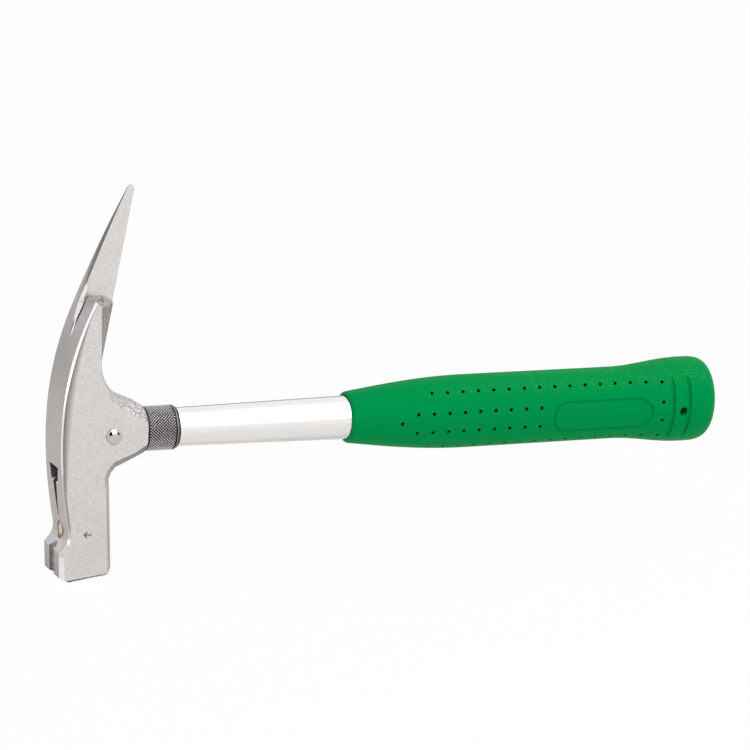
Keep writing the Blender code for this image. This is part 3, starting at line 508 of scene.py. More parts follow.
def frontLine(z):
    rise = z - headShape["arcsMeet"]
    radius = headShape["upperArc"] if rise > 0.0 else headShape["lowerArc"]
    return radius - headShape["frontReach"] - math.sqrt(radius ** 2 - rise ** 2)


def shoulderLine(x):
    shape = headShape
    fromMiddle = min(max(x, shape["shoulderFrom"]), shape["shoulderTo"]) - shape["shoulderAlong"]
    return shape["shoulderUp"] + math.sqrt(shape["shoulderArc"] ** 2 - fromMiddle ** 2)


zoneLimits = {  # low and high across the head, then low and high up it, in millimetres
    "pocketLip": (-4.4, 4.4, -22.0, -19.5),
    "frontPuller": (-6.0, 6.0, -39.0, -13.5),
    "nailSlot": (-3.4, 3.4, -math.inf, -43.0),
    "wallEdge": (-2.5, 1.6, 44.0, 68.5),
    "notchBack": (-5.4, 1.0, 43.0, 64.0),
    "notchWalls": (-5.4, 0.7, 43.0, 62.0),
    "shoulder": (-math.inf, 1.0, 43.0, 66.0),
    "arrow": (-math.inf, -11.0, -47.6, -42.4),
    "faceRim": (-math.inf, math.inf, -math.inf, -62.0),
}


def headZone(centre, normal):
    # which steel a face shows, from its place and direction in the head's own frame, in millimetres
    x, y, z = centre
    nx, ny, nz = normal
    shape, front = headShape, frontLine(z)
    found = {name for name, (near, far, low, high) in zoneLimits.items() if near < y < far and low < z < high}
    # the pocket's lip is painted near white as a highlight
    if "pocketLip" in found and x < front + 3.0 and nz > 0.4:
        return "lip"
    if "frontPuller" in found and front + 0.3 < x < 0.0:
        return "cavity"                                          # its pocket and slot, darkened as painted shade
    if "nailSlot" in found and x < -9.0 and abs(nz) < 0.3:
        return "forged"
    if "wallEdge" in found and nx < -0.25 and ny < -0.25:
        return "sliver" if z < 58.0 else "side"                  # front edge of the notch's far wall, below 58 mm in brighter steel as a painted highlight
    if "notchBack" in found and nx < -0.6 and x > front + 4.0:
        return "arch"
    if "faceRim" in found and abs(y) > shape["rimHalf"] - shape["sideTaper"] * x and -0.9 < nz < -0.35:
        return "rim"                                             # chamfer round the striking face, in near-black steel as painted shade
    if "notchWalls" in found and nx > -0.5 and z < shoulderLine(x) + 0.1:
        if ny > 0.2:
            return "cavity"                                      # near wall, darkened as painted shade
        if ny < -0.9:
            (lineX, lineZ), (leanX, leanZ) = shape["wallLine"], shape["wallLean"]
            return "side" if (x - lineX) * leanX + (z - lineZ) * leanZ < 0.0 else "arch"
    if "shoulder" in found and nz > 0.35 and nx > -0.6:
        return "forged"
    # the stamped arrow is darkened as painted shade
    if "arrow" in found and abs(x) < 3.2 and abs(ny) < 0.95:
        return "cavity"
    if abs(ny) > 0.97:
        return "side"
    # the bevel gets near-white steel as a painted highlight
    if nx < -0.25 and abs(ny) > 0.3:
        return "edge"
    # the front gets darker steel than the near side as painted shade
    if nx < -0.3 or (z < -40.0 and nx < -0.1):
        return "front"
    if x > 5.0 and z > 0.0:
        return "neck"                                            # horn's flank, neck and top of the boss
    return "back"                                                # heel, underside and back of the post, in darker steel as painted shade


def growTree(name, **sockets):
    # an empty Geometry Nodes tree with named inputs for its sizes and its finish
    tree = bpy.data.node_groups.new(name, "GeometryNodeTree")
    for label, kind in {"Geometry": "Geometry", **sockets, "Finish": "Material"}.items():
        tree.interface.new_socket(label, in_out="INPUT", socket_type="NodeSocket" + kind)
    tree.interface.new_socket("Geometry", in_out="OUTPUT", socket_type="NodeSocketGeometry")
    return tree, node(tree, "NodeGroupInput").outputs


def spreadCopies(tree, given, **inputs):
    # one copy on each point, made real and given its finish
    copies = node(tree, "GeometryNodeInstanceOnPoints", inputs)
    real = node(tree, "GeometryNodeRealizeInstances", {0: copies.outputs[0]})
    finished = node(tree, "GeometryNodeSetMaterial", {
        "Geometry": real.outputs[0], "Material": given["Finish"]})
    node(tree, "NodeGroupOutput", {0: finished.outputs[0]})
    return tree


def grownPiece(name, tree, values, mesh=None, smoothAngle=20.0):
    # what the tree makes of the values, and of the mesh's points if there are any
    holder = bpy.data.objects.new(name + "Holder", mesh or bpy.data.meshes.new(name + "Holder"))
    modifier = holder.modifiers.new(name, "NODES")
    modifier.node_group = tree
    for item in tree.interface.items_tree:
        if item.item_type == "SOCKET" and item.in_out == "INPUT" and item.name in values:
            modifier[item.identifier] = values[item.name]
    scene.collection.objects.link(holder)
    return bakedPiece(holder, name, smoothAngle)


def rowTree():
    # four-sided bars in a row, each of them along Z before its turn
    tree, given = growTree("barRow", Count="Int", Start="Vector", Step="Vector", Turn="Vector",
                           Radius="Float", Length="Float")
    row = node(tree, "GeometryNodeMeshLine", {
        "Count": given["Count"], "Start Location": given["Start"], "Offset": given["Step"]}, mode="OFFSET")
    bar = node(tree, "GeometryNodeMeshCylinder", {
        "Vertices": 4, "Radius": given["Radius"], "Depth": given["Length"]})
    return spreadCopies(tree, given, Points=row.outputs[0], Instance=bar.outputs["Mesh"],
                        Rotation=given["Turn"])


barTree = rowTree()


def barRow(name, start, turn, radius, length, steel, count=1, step=(0.0, 0.0, 0.0), place=headToWorld):
    bars = grownPiece(name, barTree, {
        "Count": count, "Start": start, "Step": step, "Turn": turn, "Radius": radius, "Length": length,
        "Finish": headMaterials[steel]})
    bars.data.transform(place)
    return bars


def toothCutters():
    # bars across the near wall of the notch, which leave the nail puller's teeth
    look = headLook
    step = Vector(look["toothWay"]).normalized() * look["toothPitch"]
    return barRow("toothBars", Vector(look["toothFoot"]) * mm, (0.0, math.pi / 2, 0.0), look["toothReach"],
                  look["toothLength"], "cavity", look["teeth"], step)


def farEdgeCutters():
    # bars along the front edge of the notch's far wall take off its corner: narrow below, wide at the arch
    bars = []
    for name, radius, low, high in headLook["farEdges"]:
        low, high = Vector(low) * mm, Vector(high) * mm
        way = high - low
        turn = (-math.asin(way.y / way.length), math.atan2(way.x, way.z), 0.0)
        bars.append(barRow(name, (low + high) / 2, turn, radius, way.length, "edge"))
    return bars


def lipCutter():
    # one bar across the lower edge of the pocket, which leaves its lip, painted bright as a highlight
    at = Vector((frontLine(headLook["lipUp"]), 0.0, headLook["lipUp"])) * mm
    return barRow("lipBar", at, (math.pi / 2, 0.0, 0.0), headLook["lipEdge"], headLook["lipLength"], "edge")


arrowSize = {
    "tip": Vector((-2.2, -11.877, -44.85)) * mm, "taper": math.radians(3.6), "line": 0.28 * mm,
    "lines": (  # name, way back from the tip and length
        ("arrowShaft", 96.0, 3.6 * mm), ("arrowUpper", 55.0, 2.1 * mm), ("arrowLower", 137.0, 2.1 * mm)),
}


def arrowCutters():
    # a plain arrow stamped into the near side, its tip towards the head's front
    tip = headToWorld @ Matrix.Translation(arrowSize["tip"]) @ Matrix.Rotation(arrowSize["taper"], 4, "Z")
    bars = []
    for name, degrees, length in arrowSize["lines"]:
        way = math.radians(degrees)
        middle = Vector((math.sin(way), 0.0, math.cos(way))) * length / 2
        bars.append(barRow(name, middle, (0.0, way, 0.0), arrowSize["line"], length, "edge", place=tip))
    return bars


def waffleCutters():
    look, lean = headLook, Matrix.Rotation(-headShape["faceLean"], 4, "Y")
    bars = []
    for name, way, turn in (("waffleAcross", Vector((1, 0, 0)), (math.pi / 2, 0.0, 0.0)),
                            ("waffleAlong", Vector((0, 1, 0)), (0.0, math.pi / 2, 0.0))):
        step = way * look["wafflePitch"]
        bars.append(barRow(name, -step * (look["waffleLines"] - 1) / 2, turn, look["waffleDepth"],
                           look["waffleReach"], "front", look["waffleLines"], step, lean))
    return bars


slotSize = {  # the nail holder's slot in the head's own frame, in millimetres
    "fill": (  # along and up, from the slot's foot to the dish
        (-12.9, -64.65), (-10.38, -65.93), (-9.0, -66.2), (-9.0, -48.05), (-10.16, -48.05),
        (-10.53, -48.87), (-11.29, -50.07), (-12.35, -51.26), (-12.9, -51.68)),
    "fillHalf": 3.5, "middle": -14.5, "round": 3.28, "front": -20.0, "low": -70.0, "high": -45.0, "steps": 24,
    "seat": 4.25 * mm, "seatFrom": -11.0 * mm, "seatTo": -8.9 * mm, "seatSegments": 64,
}


def prism(name, rings):
    bm = lofted([[Vector(corner) * mm for corner in ring] for ring in rings])
    bm.transform(headToWorld)
    return meshPiece(name, bm)


def slotFiller():
    # closes the back of the slot, flush with the dish above it
    half = slotSize["fillHalf"]
    return prism("slotFiller", [[(x, y, z) for x, z in slotSize["fill"]] for y in (-half, half)])


def slotCutter():
    # gives the slot its round end
    g = slotSize
    angles = [math.pi * (i / g["steps"] - 0.5) for i in range(g["steps"] + 1)]
    outline = [(g["middle"] + g["round"] * math.cos(a), g["round"] * math.sin(a)) for a in angles]
    outline += [(g["front"], g["round"]), (g["front"], -g["round"])]
    return prism("slotCutter", [[(x, y, z) for x, y in outline] for z in (g["low"], g["high"])])


def cupCentre():
    low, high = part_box("magnet_cup")
    return worldToHead @ ((Vector(low) + Vector(high)) / 2)


def seatCutter():
    # opens the magnet cup's seat again where the filled slot meets it
    g, centre = slotSize, cupCentre()
    bm = rod(g["seatFrom"], g["seatTo"], g["seat"], g["seatSegments"])
    bm.transform(headToWorld @ Matrix.Translation((0, centre.y, centre.z)))
    return meshPiece("seatCutter", bm)


def faceZone(face):
    return headZone((worldToHead @ face.calc_center_median()) / mm, worldToHead.to_3x3() @ face.normal)


def splitFarWall(bm):
    # the notch's far wall gets an edge where its bright front ends
    (lineX, lineZ), (leanX, leanZ) = headShape["wallLine"], headShape["wallLean"]
    walls = [face for face in bm.faces if faceZone(face) == "arch" and face.normal.y < -0.9]
    corners = [part for face in walls for part in (*face.edges, *face.verts)]
    bmesh.ops.bisect_plane(
        bm, geom=list(set(walls + corners)), dist=1e-7,
        plane_co=headToWorld @ (Vector((lineX, 0.0, lineZ)) * mm),
        plane_no=headLean.to_3x3() @ Vector((leanX, 0.0, leanZ)))


def showZones(piece):
    # each face shows the steel of its zone, with sharp edges between zones
    zoneNames = list(headMaterials)
    roundZones = {zoneNames.index("back"), zoneNames.index("neck")}
    bm = bmesh.new()
    bm.from_mesh(piece.data)
    splitFarWall(bm)
    for face in bm.faces:
        face.material_index = zoneNames.index(faceZone(face))
        face.smooth = True
    for edge in bm.edges:
        zones = set(face.material_index for face in edge.link_faces)
        limit = headLook["roundAngle"] if zones <= roundZones else headLook["softAngle"]
        edge.smooth = len(zones) == 1 and edge.calc_face_angle(4.0) < math.radians(limit)
    piece.data.materials.clear()
    bm.to_mesh(piece.data)
    bm.free()


def buildHead():
    bm = bmesh.new()
    bm.from_mesh(nodes["head"].data)
    bmesh.ops.remove_doubles(bm, verts=bm.verts, dist=2e-6)
    bmesh.ops.dissolve_limit(bm, angle_limit=math.radians(0.6), verts=bm.verts, edges=bm.edges)
    cutters = [slotCutter(), seatCutter(), toothCutters(), *farEdgeCutters(), lipCutter(), *arrowCutters(),
               *waffleCutters()]
    piece = reshaped(meshPiece("headForging", bm), cutters, "headBody", [slotFiller()])
    showZones(piece)
    return piece


headBody = buildHead()
finishPiece(headBody, "head", "ground_steel", *headMaterials.values())
print("head:", len(headBody.data.polygons), "faces")


magnetSize = {
    "cupRadius": 3.95 * mm, "wall": 0.8 * mm, "length": 5.5 * mm, "sink": 0.3 * mm, "gap": 0.3 * mm,
    "rimRound": 0.15 * mm, "segments": 64,
    "copper": (0.62, 0.40, 0.25), "copperDark": (0.42, 0.25, 0.15), "copperRoughness": 0.32,
    "plate": (0.80, 0.79, 0.77), "plateDark": (0.62, 0.61, 0.60), "plateRoughness": 0.25,
}


def buildMagnet():
    size, centre = magnetSize, cupCentre()
    outer = size["cupRadius"]
    inner = outer - size["wall"]
    face = centre.x - size["length"] / 2
    back = face + size["length"]
    floor = back - size["wall"]
    r = size["rimRound"]
    cup = turned(((face + r, inner), (face, inner + r), (face, outer - r), (face + r, outer), (back, outer),
                  (back, 0.0), (floor, 0.0), (floor, inner)), size["segments"])
    top = face + size["sink"]
    radius = inner - size["gap"]
    disc = turned(((top, 0.0), (top, radius - r), (top + r, radius), (floor - size["gap"], radius),
                   (floor - size["gap"], 0.0)), size["segments"])
    for bm in (cup, disc):
        bm.transform(headToWorld @ Matrix.Translation((0.0, 0.0, centre.z)))
    return meshPiece("magnetCup", cup), meshPiece("magnetDisc", disc)


copper = groundMaterial("cupCopper", magnetSize["copper"], magnetSize["copperDark"],
                        magnetSize["copperRoughness"], stretch=(300.0, 300.0, 300.0))
plate = groundMaterial("magnetPlate", magnetSize["plate"], magnetSize["plateDark"],
                       magnetSize["plateRoughness"], stretch=(500.0, 500.0, 500.0))
magnetCup, magnetDisc = buildMagnet()
finishPiece(magnetCup, "magnet_cup", "copper", copper)
finishPiece(magnetDisc, "magnet", "nickel", plate)
print("magnet and cup")


rivetSize = {
    "at": 13.2 * mm, "head": 3.6 * mm, "shank": 2.5 * mm, "dome": 1.2 * mm, "rim": 0.4 * mm, "steps": 14,
    "segments": 64, "smoothAngle": 50.0,
    "light": (0.66, 0.59, 0.56), "dark": (0.60, 0.53, 0.50), "roughness": 0.09,
}


def buildRivet():
    size = rivetSize
    low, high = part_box("cross_rivet")
    outer = (high[1] - low[1]) / 2
    seat = outer - size["dome"] - size["rim"]
    ball = (size["head"] ** 2 + size["dome"] ** 2) / (2 * size["dome"])
    angles = [math.asin(size["head"] / ball) * (1 - i / size["steps"]) for i in range(size["steps"] + 1)]
    dome = [(outer - ball * (1 - math.cos(a)), ball * math.sin(a)) for a in angles]
    half = [(seat, size["shank"]), (seat, size["head"]), *dome]
    bm = turned([(-s, r) for s, r in reversed(half)] + half, size["segments"], "Y")
    bm.transform(Matrix.Translation(crossing + Vector((size["at"], 0, 0))))
    return meshPiece("rivetPin", bm, size["smoothAngle"])


rivetSteel = groundMaterial("rivetSteel", rivetSize["light"], rivetSize["dark"], rivetSize["roughness"],
                            stretch=(200.0, 200.0, 200.0), bump=0.02)
rivetPin = buildRivet()
finishPiece(rivetPin, "cross_rivet", "polished_steel", rivetSteel)
print("rivet")


collarSize = {
    "start": 30.1 * mm, "length": 15.5 * mm, "radius": 10.3 * mm, "bore": 9.2 * mm, "edge": 0.5 * mm,
    "nose": 1.8 * mm, "noseDepth": 0.8 * mm, "noseRound": 0.1 * mm, "noseFlat": 0.35 * mm,
    "pitch": 1.45 * mm, "around": 45, "height": 0.5 * mm, "studTop": 0.16, "margin": 0.3 * mm, "segments": 90,
    "light": (0.93, 0.91, 0.90), "dark": (0.035, 0.033, 0.033), "roughness": 0.3, "darkRoughness": 0.5,
    "noseShade": 0.22, "crestFrom": 0.05 * mm, "crestTo": 0.04 * mm, "smoothAngle": 20.0,
    "stretch": (700.0, 700.0, 700.0), "sheenAndWearGrain": (0.25, 0.6), "sheenAndWearShare": (0.6, 1.0),
}


def knurlTree():
    # studs in columns along the collar, every second column turned by half a stud
    tree, given = growTree("knurl", Length="Float", Radius="Float", Height="Float", Around="Int",
                           Columns="Int")
    points = node(tree, "GeometryNodeMeshLine", {"Count": times(tree, given["Around"], given["Columns"])})
    index = node(tree, "GeometryNodeInputIndex").outputs[0]
    column = mathNode(tree, "FLOOR", over(tree, index, given["Around"]))
    inColumn = minus(tree, index, times(tree, column, given["Around"]))
    shifted = plus(tree, inColumn, times(tree, mathNode(tree, "MODULO", column, 2.0), 0.5))
    angle = times(tree, over(tree, shifted, given["Around"]), math.tau)
    along = times(tree, over(tree, column, minus(tree, given["Columns"], 1.0)), given["Length"])
    across = times(tree, times(tree, mathNode(tree, "SINE", angle), -1.0), given["Radius"])
    up = times(tree, mathNode(tree, "COSINE", angle), given["Radius"])
    place = node(tree, "ShaderNodeCombineXYZ", {0: along, 1: across, 2: up})
    placed = node(tree, "GeometryNodeSetPosition", {
        "Geometry": points.outputs[0], "Position": place.outputs[0]})
    turn = node(tree, "ShaderNodeCombineXYZ", {0: angle})
    # one four-sided stud with a small flat top, its corners on the axis and across it
    halfPitch = over(tree, times(tree, given["Radius"], math.pi), given["Around"])
    stud = node(tree, "GeometryNodeMeshCone", {
        "Vertices": 4, "Radius Bottom": halfPitch, "Depth": given["Height"],
        "Radius Top": times(tree, halfPitch, collarSize["studTop"])})
    return spreadCopies(tree, given, Points=placed.outputs[0], Instance=stud.outputs[0],
                        Rotation=turn.outputs[0])


def buildCollar(finish):
    size = collarSize
    start, end, outer = size["start"], size["start"] + size["length"], size["radius"]
    root = outer - size["height"]
    knurlEnd = end - size["nose"]
    tip, r = outer - size["noseDepth"], size["noseRound"]
    body = turned(((start, size["bore"]), (start, outer - size["edge"]), (start + size["edge"] / 2, root),
                   (knurlEnd - r, root), (knurlEnd, outer - r / 2), (knurlEnd + size["noseFlat"], outer),
                   (end - 2 * r, tip + r), (end, tip - r), (end, size["bore"])), size["segments"])
    body.transform(Matrix.Translation(crossing))
    bmesh.ops.recalc_face_normals(body, faces=body.faces)
    run = knurlEnd - start - 2 * size["margin"] - size["pitch"]
    columns = int(round(run / (size["pitch"] / 2))) + 1
    studs = grownPiece("knurlStuds", knurlTree(), {  # each stands with its base on the root circle
        "Length": run, "Radius": root, "Height": size["height"], "Around": size["around"], "Columns": columns,
        "Finish": finish})
    shift = crossing + Vector((start + size["margin"] + size["pitch"] / 2, 0, 0))
    studs.data.transform(Matrix.Translation(shift))
    body.from_mesh(studs.data)
    bpy.data.objects.remove(studs, do_unlink=True)
    mesh = bpy.data.meshes.new("knurledCollar")
    body.to_mesh(mesh)
    body.free()
    return placedPiece("knurledCollar", mesh, size["smoothAngle"])


def collarMaterial():
    # blackened steel, with painted shade down in the knurl and a painted highlight on its crests, broken up
    # by grain as uneven wear
    size = collarSize
    material, tree, shader = newMaterial("collarSteel")
    place = objectPlace(tree)
    around = vectorNode(tree, "MULTIPLY", place, (0.0, 1.0, 1.0))[0]
    fromAxis = vectorNode(tree, "DISTANCE", around, (0.0, 0.0, crossing.z))["Value"]
    root = size["radius"] - size["height"]
    # crests get a painted highlight and the knurl's roots painted shade
    crest = ranged(tree, fromAxis, root + size["crestFrom"], size["radius"] - size["crestTo"])
    grain = groupNode(tree, grindGrain, Stretch=size["stretch"])["Grain"]
    noseFrom, soft = crossing.x + size["start"] + size["length"] - size["nose"], size["noseRound"]
    nose = ranged(tree, split(tree, place)["X"], noseFrom - soft, noseFrom + soft, 1.0, size["noseShade"])
    crestSheenAndWear = times(tree, crest, ranged(tree, grain, *size["sheenAndWearGrain"], *size["sheenAndWearShare"]))
    share = times(tree, crestSheenAndWear, nose)
    feed(tree, shader, {
        "Base Color": colourMix(tree, share, size["dark"], size["light"]),
        "Roughness": ranged(tree, share, 0.0, 1.0, size["darkRoughness"], size["roughness"]),
        "Metallic": 1.0})
    return material


collarSteel = collarMaterial()
knurledCollar = buildCollar(collarSteel)
finishPiece(knurledCollar, "knurled_collar", "blackened_steel", collarSteel)
print("collar:", len(knurledCollar.data.polygons), "faces")


tubeSize = {
    "start": 1.8 * mm, "taperStart": 50.0 * mm, "taperEnd": 128.5 * mm, "end": 286.0 * mm,
    "thin": 8.9 * mm, "thick": 10.1 * mm, "wall": 1.6 * mm, "segments": 128,
    "light": (0.90, 0.885, 0.88), "dark": (0.85, 0.835, 0.83), "roughness": 0.2,
}


def buildTube():
    size = tubeSize
    outer = [(size["start"], size["thin"]), (size["taperStart"], size["thin"]),
             (size["taperEnd"], size["thick"]), (size["end"], size["thick"])]
    inner = [(s, r - size["wall"]) for s, r in reversed(outer)]
    bm = turned(outer + inner, size["segments"])
    bm.transform(Matrix.Translation(crossing))
    return meshPiece("handleTube", bm)


chrome = groundMaterial("tubeChrome", tubeSize["light"], tubeSize["dark"], tubeSize["roughness"],
                        stretch=(25.0, 300.0, 300.0), bump=0.0)
handleTube = buildTube()
finishPiece(handleTube, "handle_tube", "chrome", chrome)
print("tube")


gripSize = {
    "start": 128.5 * mm, "length": 185.4 * mm, "mouth": 11.8 * mm, "belly": 17.2 * mm, "bellyAt": 60.0 * mm,
    "waist": 17.1 * mm, "waistAt": 134.0 * mm, "butt": 20.2 * mm, "buttRound": 15.2 * mm, "squareness": 3.8,
    "buttArc": 78.0, "widthShare": 0.84, "mouthRound": 1.2 * mm, "bore": 10.4 * mm, "boreEnd": 288.6 * mm,
    "grooves": (160.3 * mm, 168.3 * mm), "grooveDepth": 1.0 * mm, "grooveWidth": 2.2 * mm, "grooveFlat": 1.5,
    "grooveTop": 0.52, "grooveFoot": 0.38, "grooveFade": 0.08,
    "hole": 2.1 * mm, "holeAt": 165.8 * mm, "holeDrop": 2.0 * mm, "holeFlare": 0.35 * mm,
    "holeLip": 0.12 * mm, "holeSegments": 40, "boreSegments": 96, "smoothAngle": 60.0,
    "rings": 230, "segments": 144, "mouthSteps": 6, "grooveSteps": 12, "buttSteps": 28,
    "green": (0.0, 0.26, 0.064), "deepGreen": (0.0, 0.206, 0.051), "glintGreen": (0.05, 0.38, 0.04),
    "glintLooksUp": (0.35, 0.7), "glintAlong": (0.155, 0.23), "glintShare": 0.9,
    "grainScale": 1500.0, "grainRange": (0.3, 1.2), "roughness": (0.48, 0.34), "bump": 0.35,
    "bumpDepth": 0.08 * mm, "shine": 0.9, "index": 1.07, "shineTint": (0.10, 1.0, 0.22),
    "holeGreen": (0.0, 0.035, 0.012), "holeDark": (0.0, 0.008, 0.003), "holeRoughness": 0.7,
    "holeShine": 0.05,
}
buttAt = gripSize["length"] - gripSize["buttRound"]
buttReach = gripSize["buttRound"] * math.sin(math.radians(gripSize["buttArc"]))

dimpleRows = (  # height of the row over the axis, and its columns
    (12.0 * mm, range(2, 18)), (3.0 * mm, (*range(1, 10), 17)), (-1.0 * mm, (0,)),
    (-6.0 * mm, (*range(1, 10), 17)), (-14.3 * mm, range(2, 18)),
)
dimpleSize = {
    "first": 23.5 * mm, "pitch": 7.75 * mm, "mouth": 0.87 * mm, "throat": 0.94, "floor": 0.72 * mm,
    "depth": 2.4 * mm, "lip": 0.28 * mm, "over": 0.8 * mm, "flare": 0.9 * mm, "segments": 20,
    "shadeDepth": 1.2 * mm, "shadeStart": 2.0 * mm, "shadeEnd": 6.0 * mm, "boreMargin": 0.2 * mm,
}
plateSize = {
    "from": 99.9 * mm, "to": 149.9 * mm, "high": 4.6 * mm, "low": -9.3 * mm, "line": 0.8 * mm,
    "lift": 0.16 * mm, "steps": 20, "straightSteps": 40, "sides": 10,
}


def gripHalfHeight(u):
    g = gripSize
    if u < g["bellyAt"]:
        return mixed(g["mouth"], g["belly"], math.sin(math.pi / 2 * u / g["bellyAt"]))
    if u < g["waistAt"]:
        return mixed(g["belly"], g["waist"], eased((u - g["bellyAt"]) / (g["waistAt"] - g["bellyAt"])))
    if u < buttAt:
        return mixed(g["waist"], g["butt"], eased((u - g["waistAt"]) / (buttAt - g["waistAt"])))
    power = g["squareness"]
    return g["butt"] * max(0.0, 1 - min(1.0, (u - buttAt) / buttReach) ** power) ** (1 / power)


def gripHalfWidth(u):
    return gripHalfHeight(u) * mixed(1.0, gripSize["widthShare"], u / gripSize["bellyAt"])


def grooveSink(u, angle):
    g = gripSize
    nearest = min(abs(u - groove) for groove in g["grooves"])
    if nearest >= g["grooveWidth"] / 2:
        return 0.0
    end = g["grooveTop"] if math.sin(angle) > 0 else g["grooveFoot"]
    share = min(1.0, max(0.0, (math.cos(angle) ** 2 - end) / g["grooveFade"]))
    sunk = min(1.0, g["grooveFlat"] * math.cos(math.pi * nearest / g["grooveWidth"]))
    return g["grooveDepth"] * sunk * share


def gripPoint(u, height, side, lift=0.0):
    # a point on the grip's side at a height over the axis, and the way out of the surface there
    halfHeight, halfWidth = gripHalfHeight(u), gripHalfWidth(u)
    angle = math.asin(max(-1.0, min(1.0, height / halfHeight)))
    out = Vector((0.0, side * math.cos(angle) / halfWidth, math.sin(angle) / halfHeight)).normalized()
    point = Vector((gripSize["start"] + u, side * halfWidth * math.cos(angle), halfHeight * math.sin(angle)))
    return crossing + point + lift * out, out


def gripStations():
    g = gripSize
    mouth, rings, across, butt = g["mouthSteps"], g["rings"], g["grooveSteps"], g["buttSteps"]
    stations = [g["mouthRound"] * (1 - math.cos(math.pi / 2 * i / mouth)) for i in range(1, mouth + 1)]
    stations += [mixed(g["mouthRound"], buttAt, i / rings) for i in range(1, rings + 1)]
    stations += [at + g["grooveWidth"] * (i / across - 0.5) for at in g["grooves"] for i in range(across + 1)]
    stations += [buttAt + buttReach * math.sin(math.pi / 2 * i / butt) for i in range(1, butt + 1)]
    return sorted(set(round(u, 7) for u in stations))


def gripRing(u, shrink):
    g, least = gripSize, 0.02 * mm
    ring = []
    for i in range(g["segments"]):
        angle = math.tau * i / g["segments"]
        sink = grooveSink(u, angle) + shrink
        y = max(gripHalfWidth(u) - sink, least) * math.cos(angle)
        z = max(gripHalfHeight(u) - sink, least) * math.sin(angle)
        ring.append(crossing + Vector((g["start"] + u, y, z)))
    return ring


def buildGrip():
    rounding = gripSize["mouthRound"]
    rings = [gripRing(0.0, rounding)]
    for u in gripStations():
        left = max(0.0, rounding - u)
        rings.append(gripRing(u, rounding - math.sqrt(max(0.0, rounding ** 2 - left ** 2))))
    piece = meshPiece("gripBody", lofted(rings), gripSize["smoothAngle"])
    made = reshaped(piece, [gripBore(), hangingHole(), dimpleCutters(), plateGroove()], "gripMoulding")
    made.data.materials.clear()
    # faces down the dimples and the hanging hole take near-black green as painted shade
    for face in made.data.polygons:
        face.material_index = int(insideHole(face.center - crossing))
    return made


def insideHole(place):
    # whether a place lies down a dimple or the hanging hole, and not in the bore
    g, d = gripSize, dimpleSize
    u = place.x - g["start"]
    if u < d["first"] - d["shadeStart"] or u > g["length"] - d["shadeEnd"]:
        return False
    share = math.hypot(place.y / gripHalfWidth(u), place.z / gripHalfHeight(u))
    isDeep = (1 - share) * gripHalfWidth(u) > d["shadeDepth"]
    return isDeep and math.hypot(place.y, place.z) > g["bore"] + d["boreMargin"]


def gripBore():
    g, ahead = gripSize, 5.0 * mm
    bm = rod(g["start"] - ahead, g["boreEnd"], g["bore"], g["boreSegments"])
    bm.transform(Matrix.Translation(crossing))
    return meshPiece("boreCutter", bm)


def hangingHole():
    g, flare = gripSize, gripSize["holeFlare"]
    mouth = gripPoint(g["holeAt"], -g["holeDrop"], 1)[0].y
    half = [(mouth - flare, g["hole"]), (mouth, g["hole"] + g["holeLip"]),
            (mouth + 2 * flare, g["hole"] + 3 * flare)]
    profile = [(-s, r) for s, r in reversed(half)] + half
    profile = [(profile[0][0], 0.0), *profile, (profile[-1][0], 0.0)]
    bm = turned(profile, g["holeSegments"], "Y")
    bm.transform(Matrix.Translation(crossing + Vector((g["start"] + g["holeAt"], 0, -g["holeDrop"]))))
    return meshPiece("holeCutter", bm)


def dimpleTree():
    # a cutter on each point, aimed along the point's own attribute
    tree, given = growTree("dimples", Cutter="Object", Scale="Float")
    shape = node(tree, "GeometryNodeObjectInfo", {"Object": given["Cutter"]})
    aim = node(tree, "GeometryNodeInputNamedAttribute", {"Name": "aim"}, data_type="FLOAT_VECTOR")
    turn = node(tree, "FunctionNodeAlignRotationToVector", {"Vector": aim.outputs[0]}, axis="Z")
    return spreadCopies(tree, given, Points=given["Geometry"], Instance=shape.outputs["Geometry"],
                        Rotation=turn.outputs[0], Scale=given["Scale"])


def dimpleShape():
    # one cutter along Z: a cone with a rounded lip where it meets the grip's surface
    d = dimpleSize
    throat, lip = d["mouth"] * d["throat"], d["lip"]
    profile = [(-d["depth"], 0.0), (-d["depth"], d["floor"]), (-lip, throat)]
    profile += [(-lip + lip * 2 * math.sin(a), throat + lip * 2 * (1 - math.cos(a)))
                for a in (math.pi / 8, math.pi / 4, 3 * math.pi / 8)]
    profile += [(d["over"], profile[-1][1] + d["flare"]), (d["over"], 0.0)]
    bm = turned(profile, d["segments"])
    bm.transform(Matrix.Rotation(math.radians(-90), 4, "Y"))
    return meshPiece("dimpleShape", bm)


def dimpleCutters():
    d = dimpleSize
    places = [gripPoint(d["first"] + column * d["pitch"], height, side)
              for height, columns in dimpleRows for column in columns for side in (-1, 1)]
    mesh = bpy.data.meshes.new("dimplePoints")
    mesh.from_pydata([point for point, out in places], [], [])
    attribute = mesh.attributes.new("aim", "FLOAT_VECTOR", "POINT")
    attribute.data.foreach_set("vector", [value for point, out in places for value in out])
    shape = dimpleShape()
    made = grownPiece("dimpleCutters", dimpleTree(), {
        "Cutter": shape, "Scale": 1.0, "Finish": gripGreen}, mesh)
    bpy.data.objects.remove(shape, do_unlink=True)
    return made


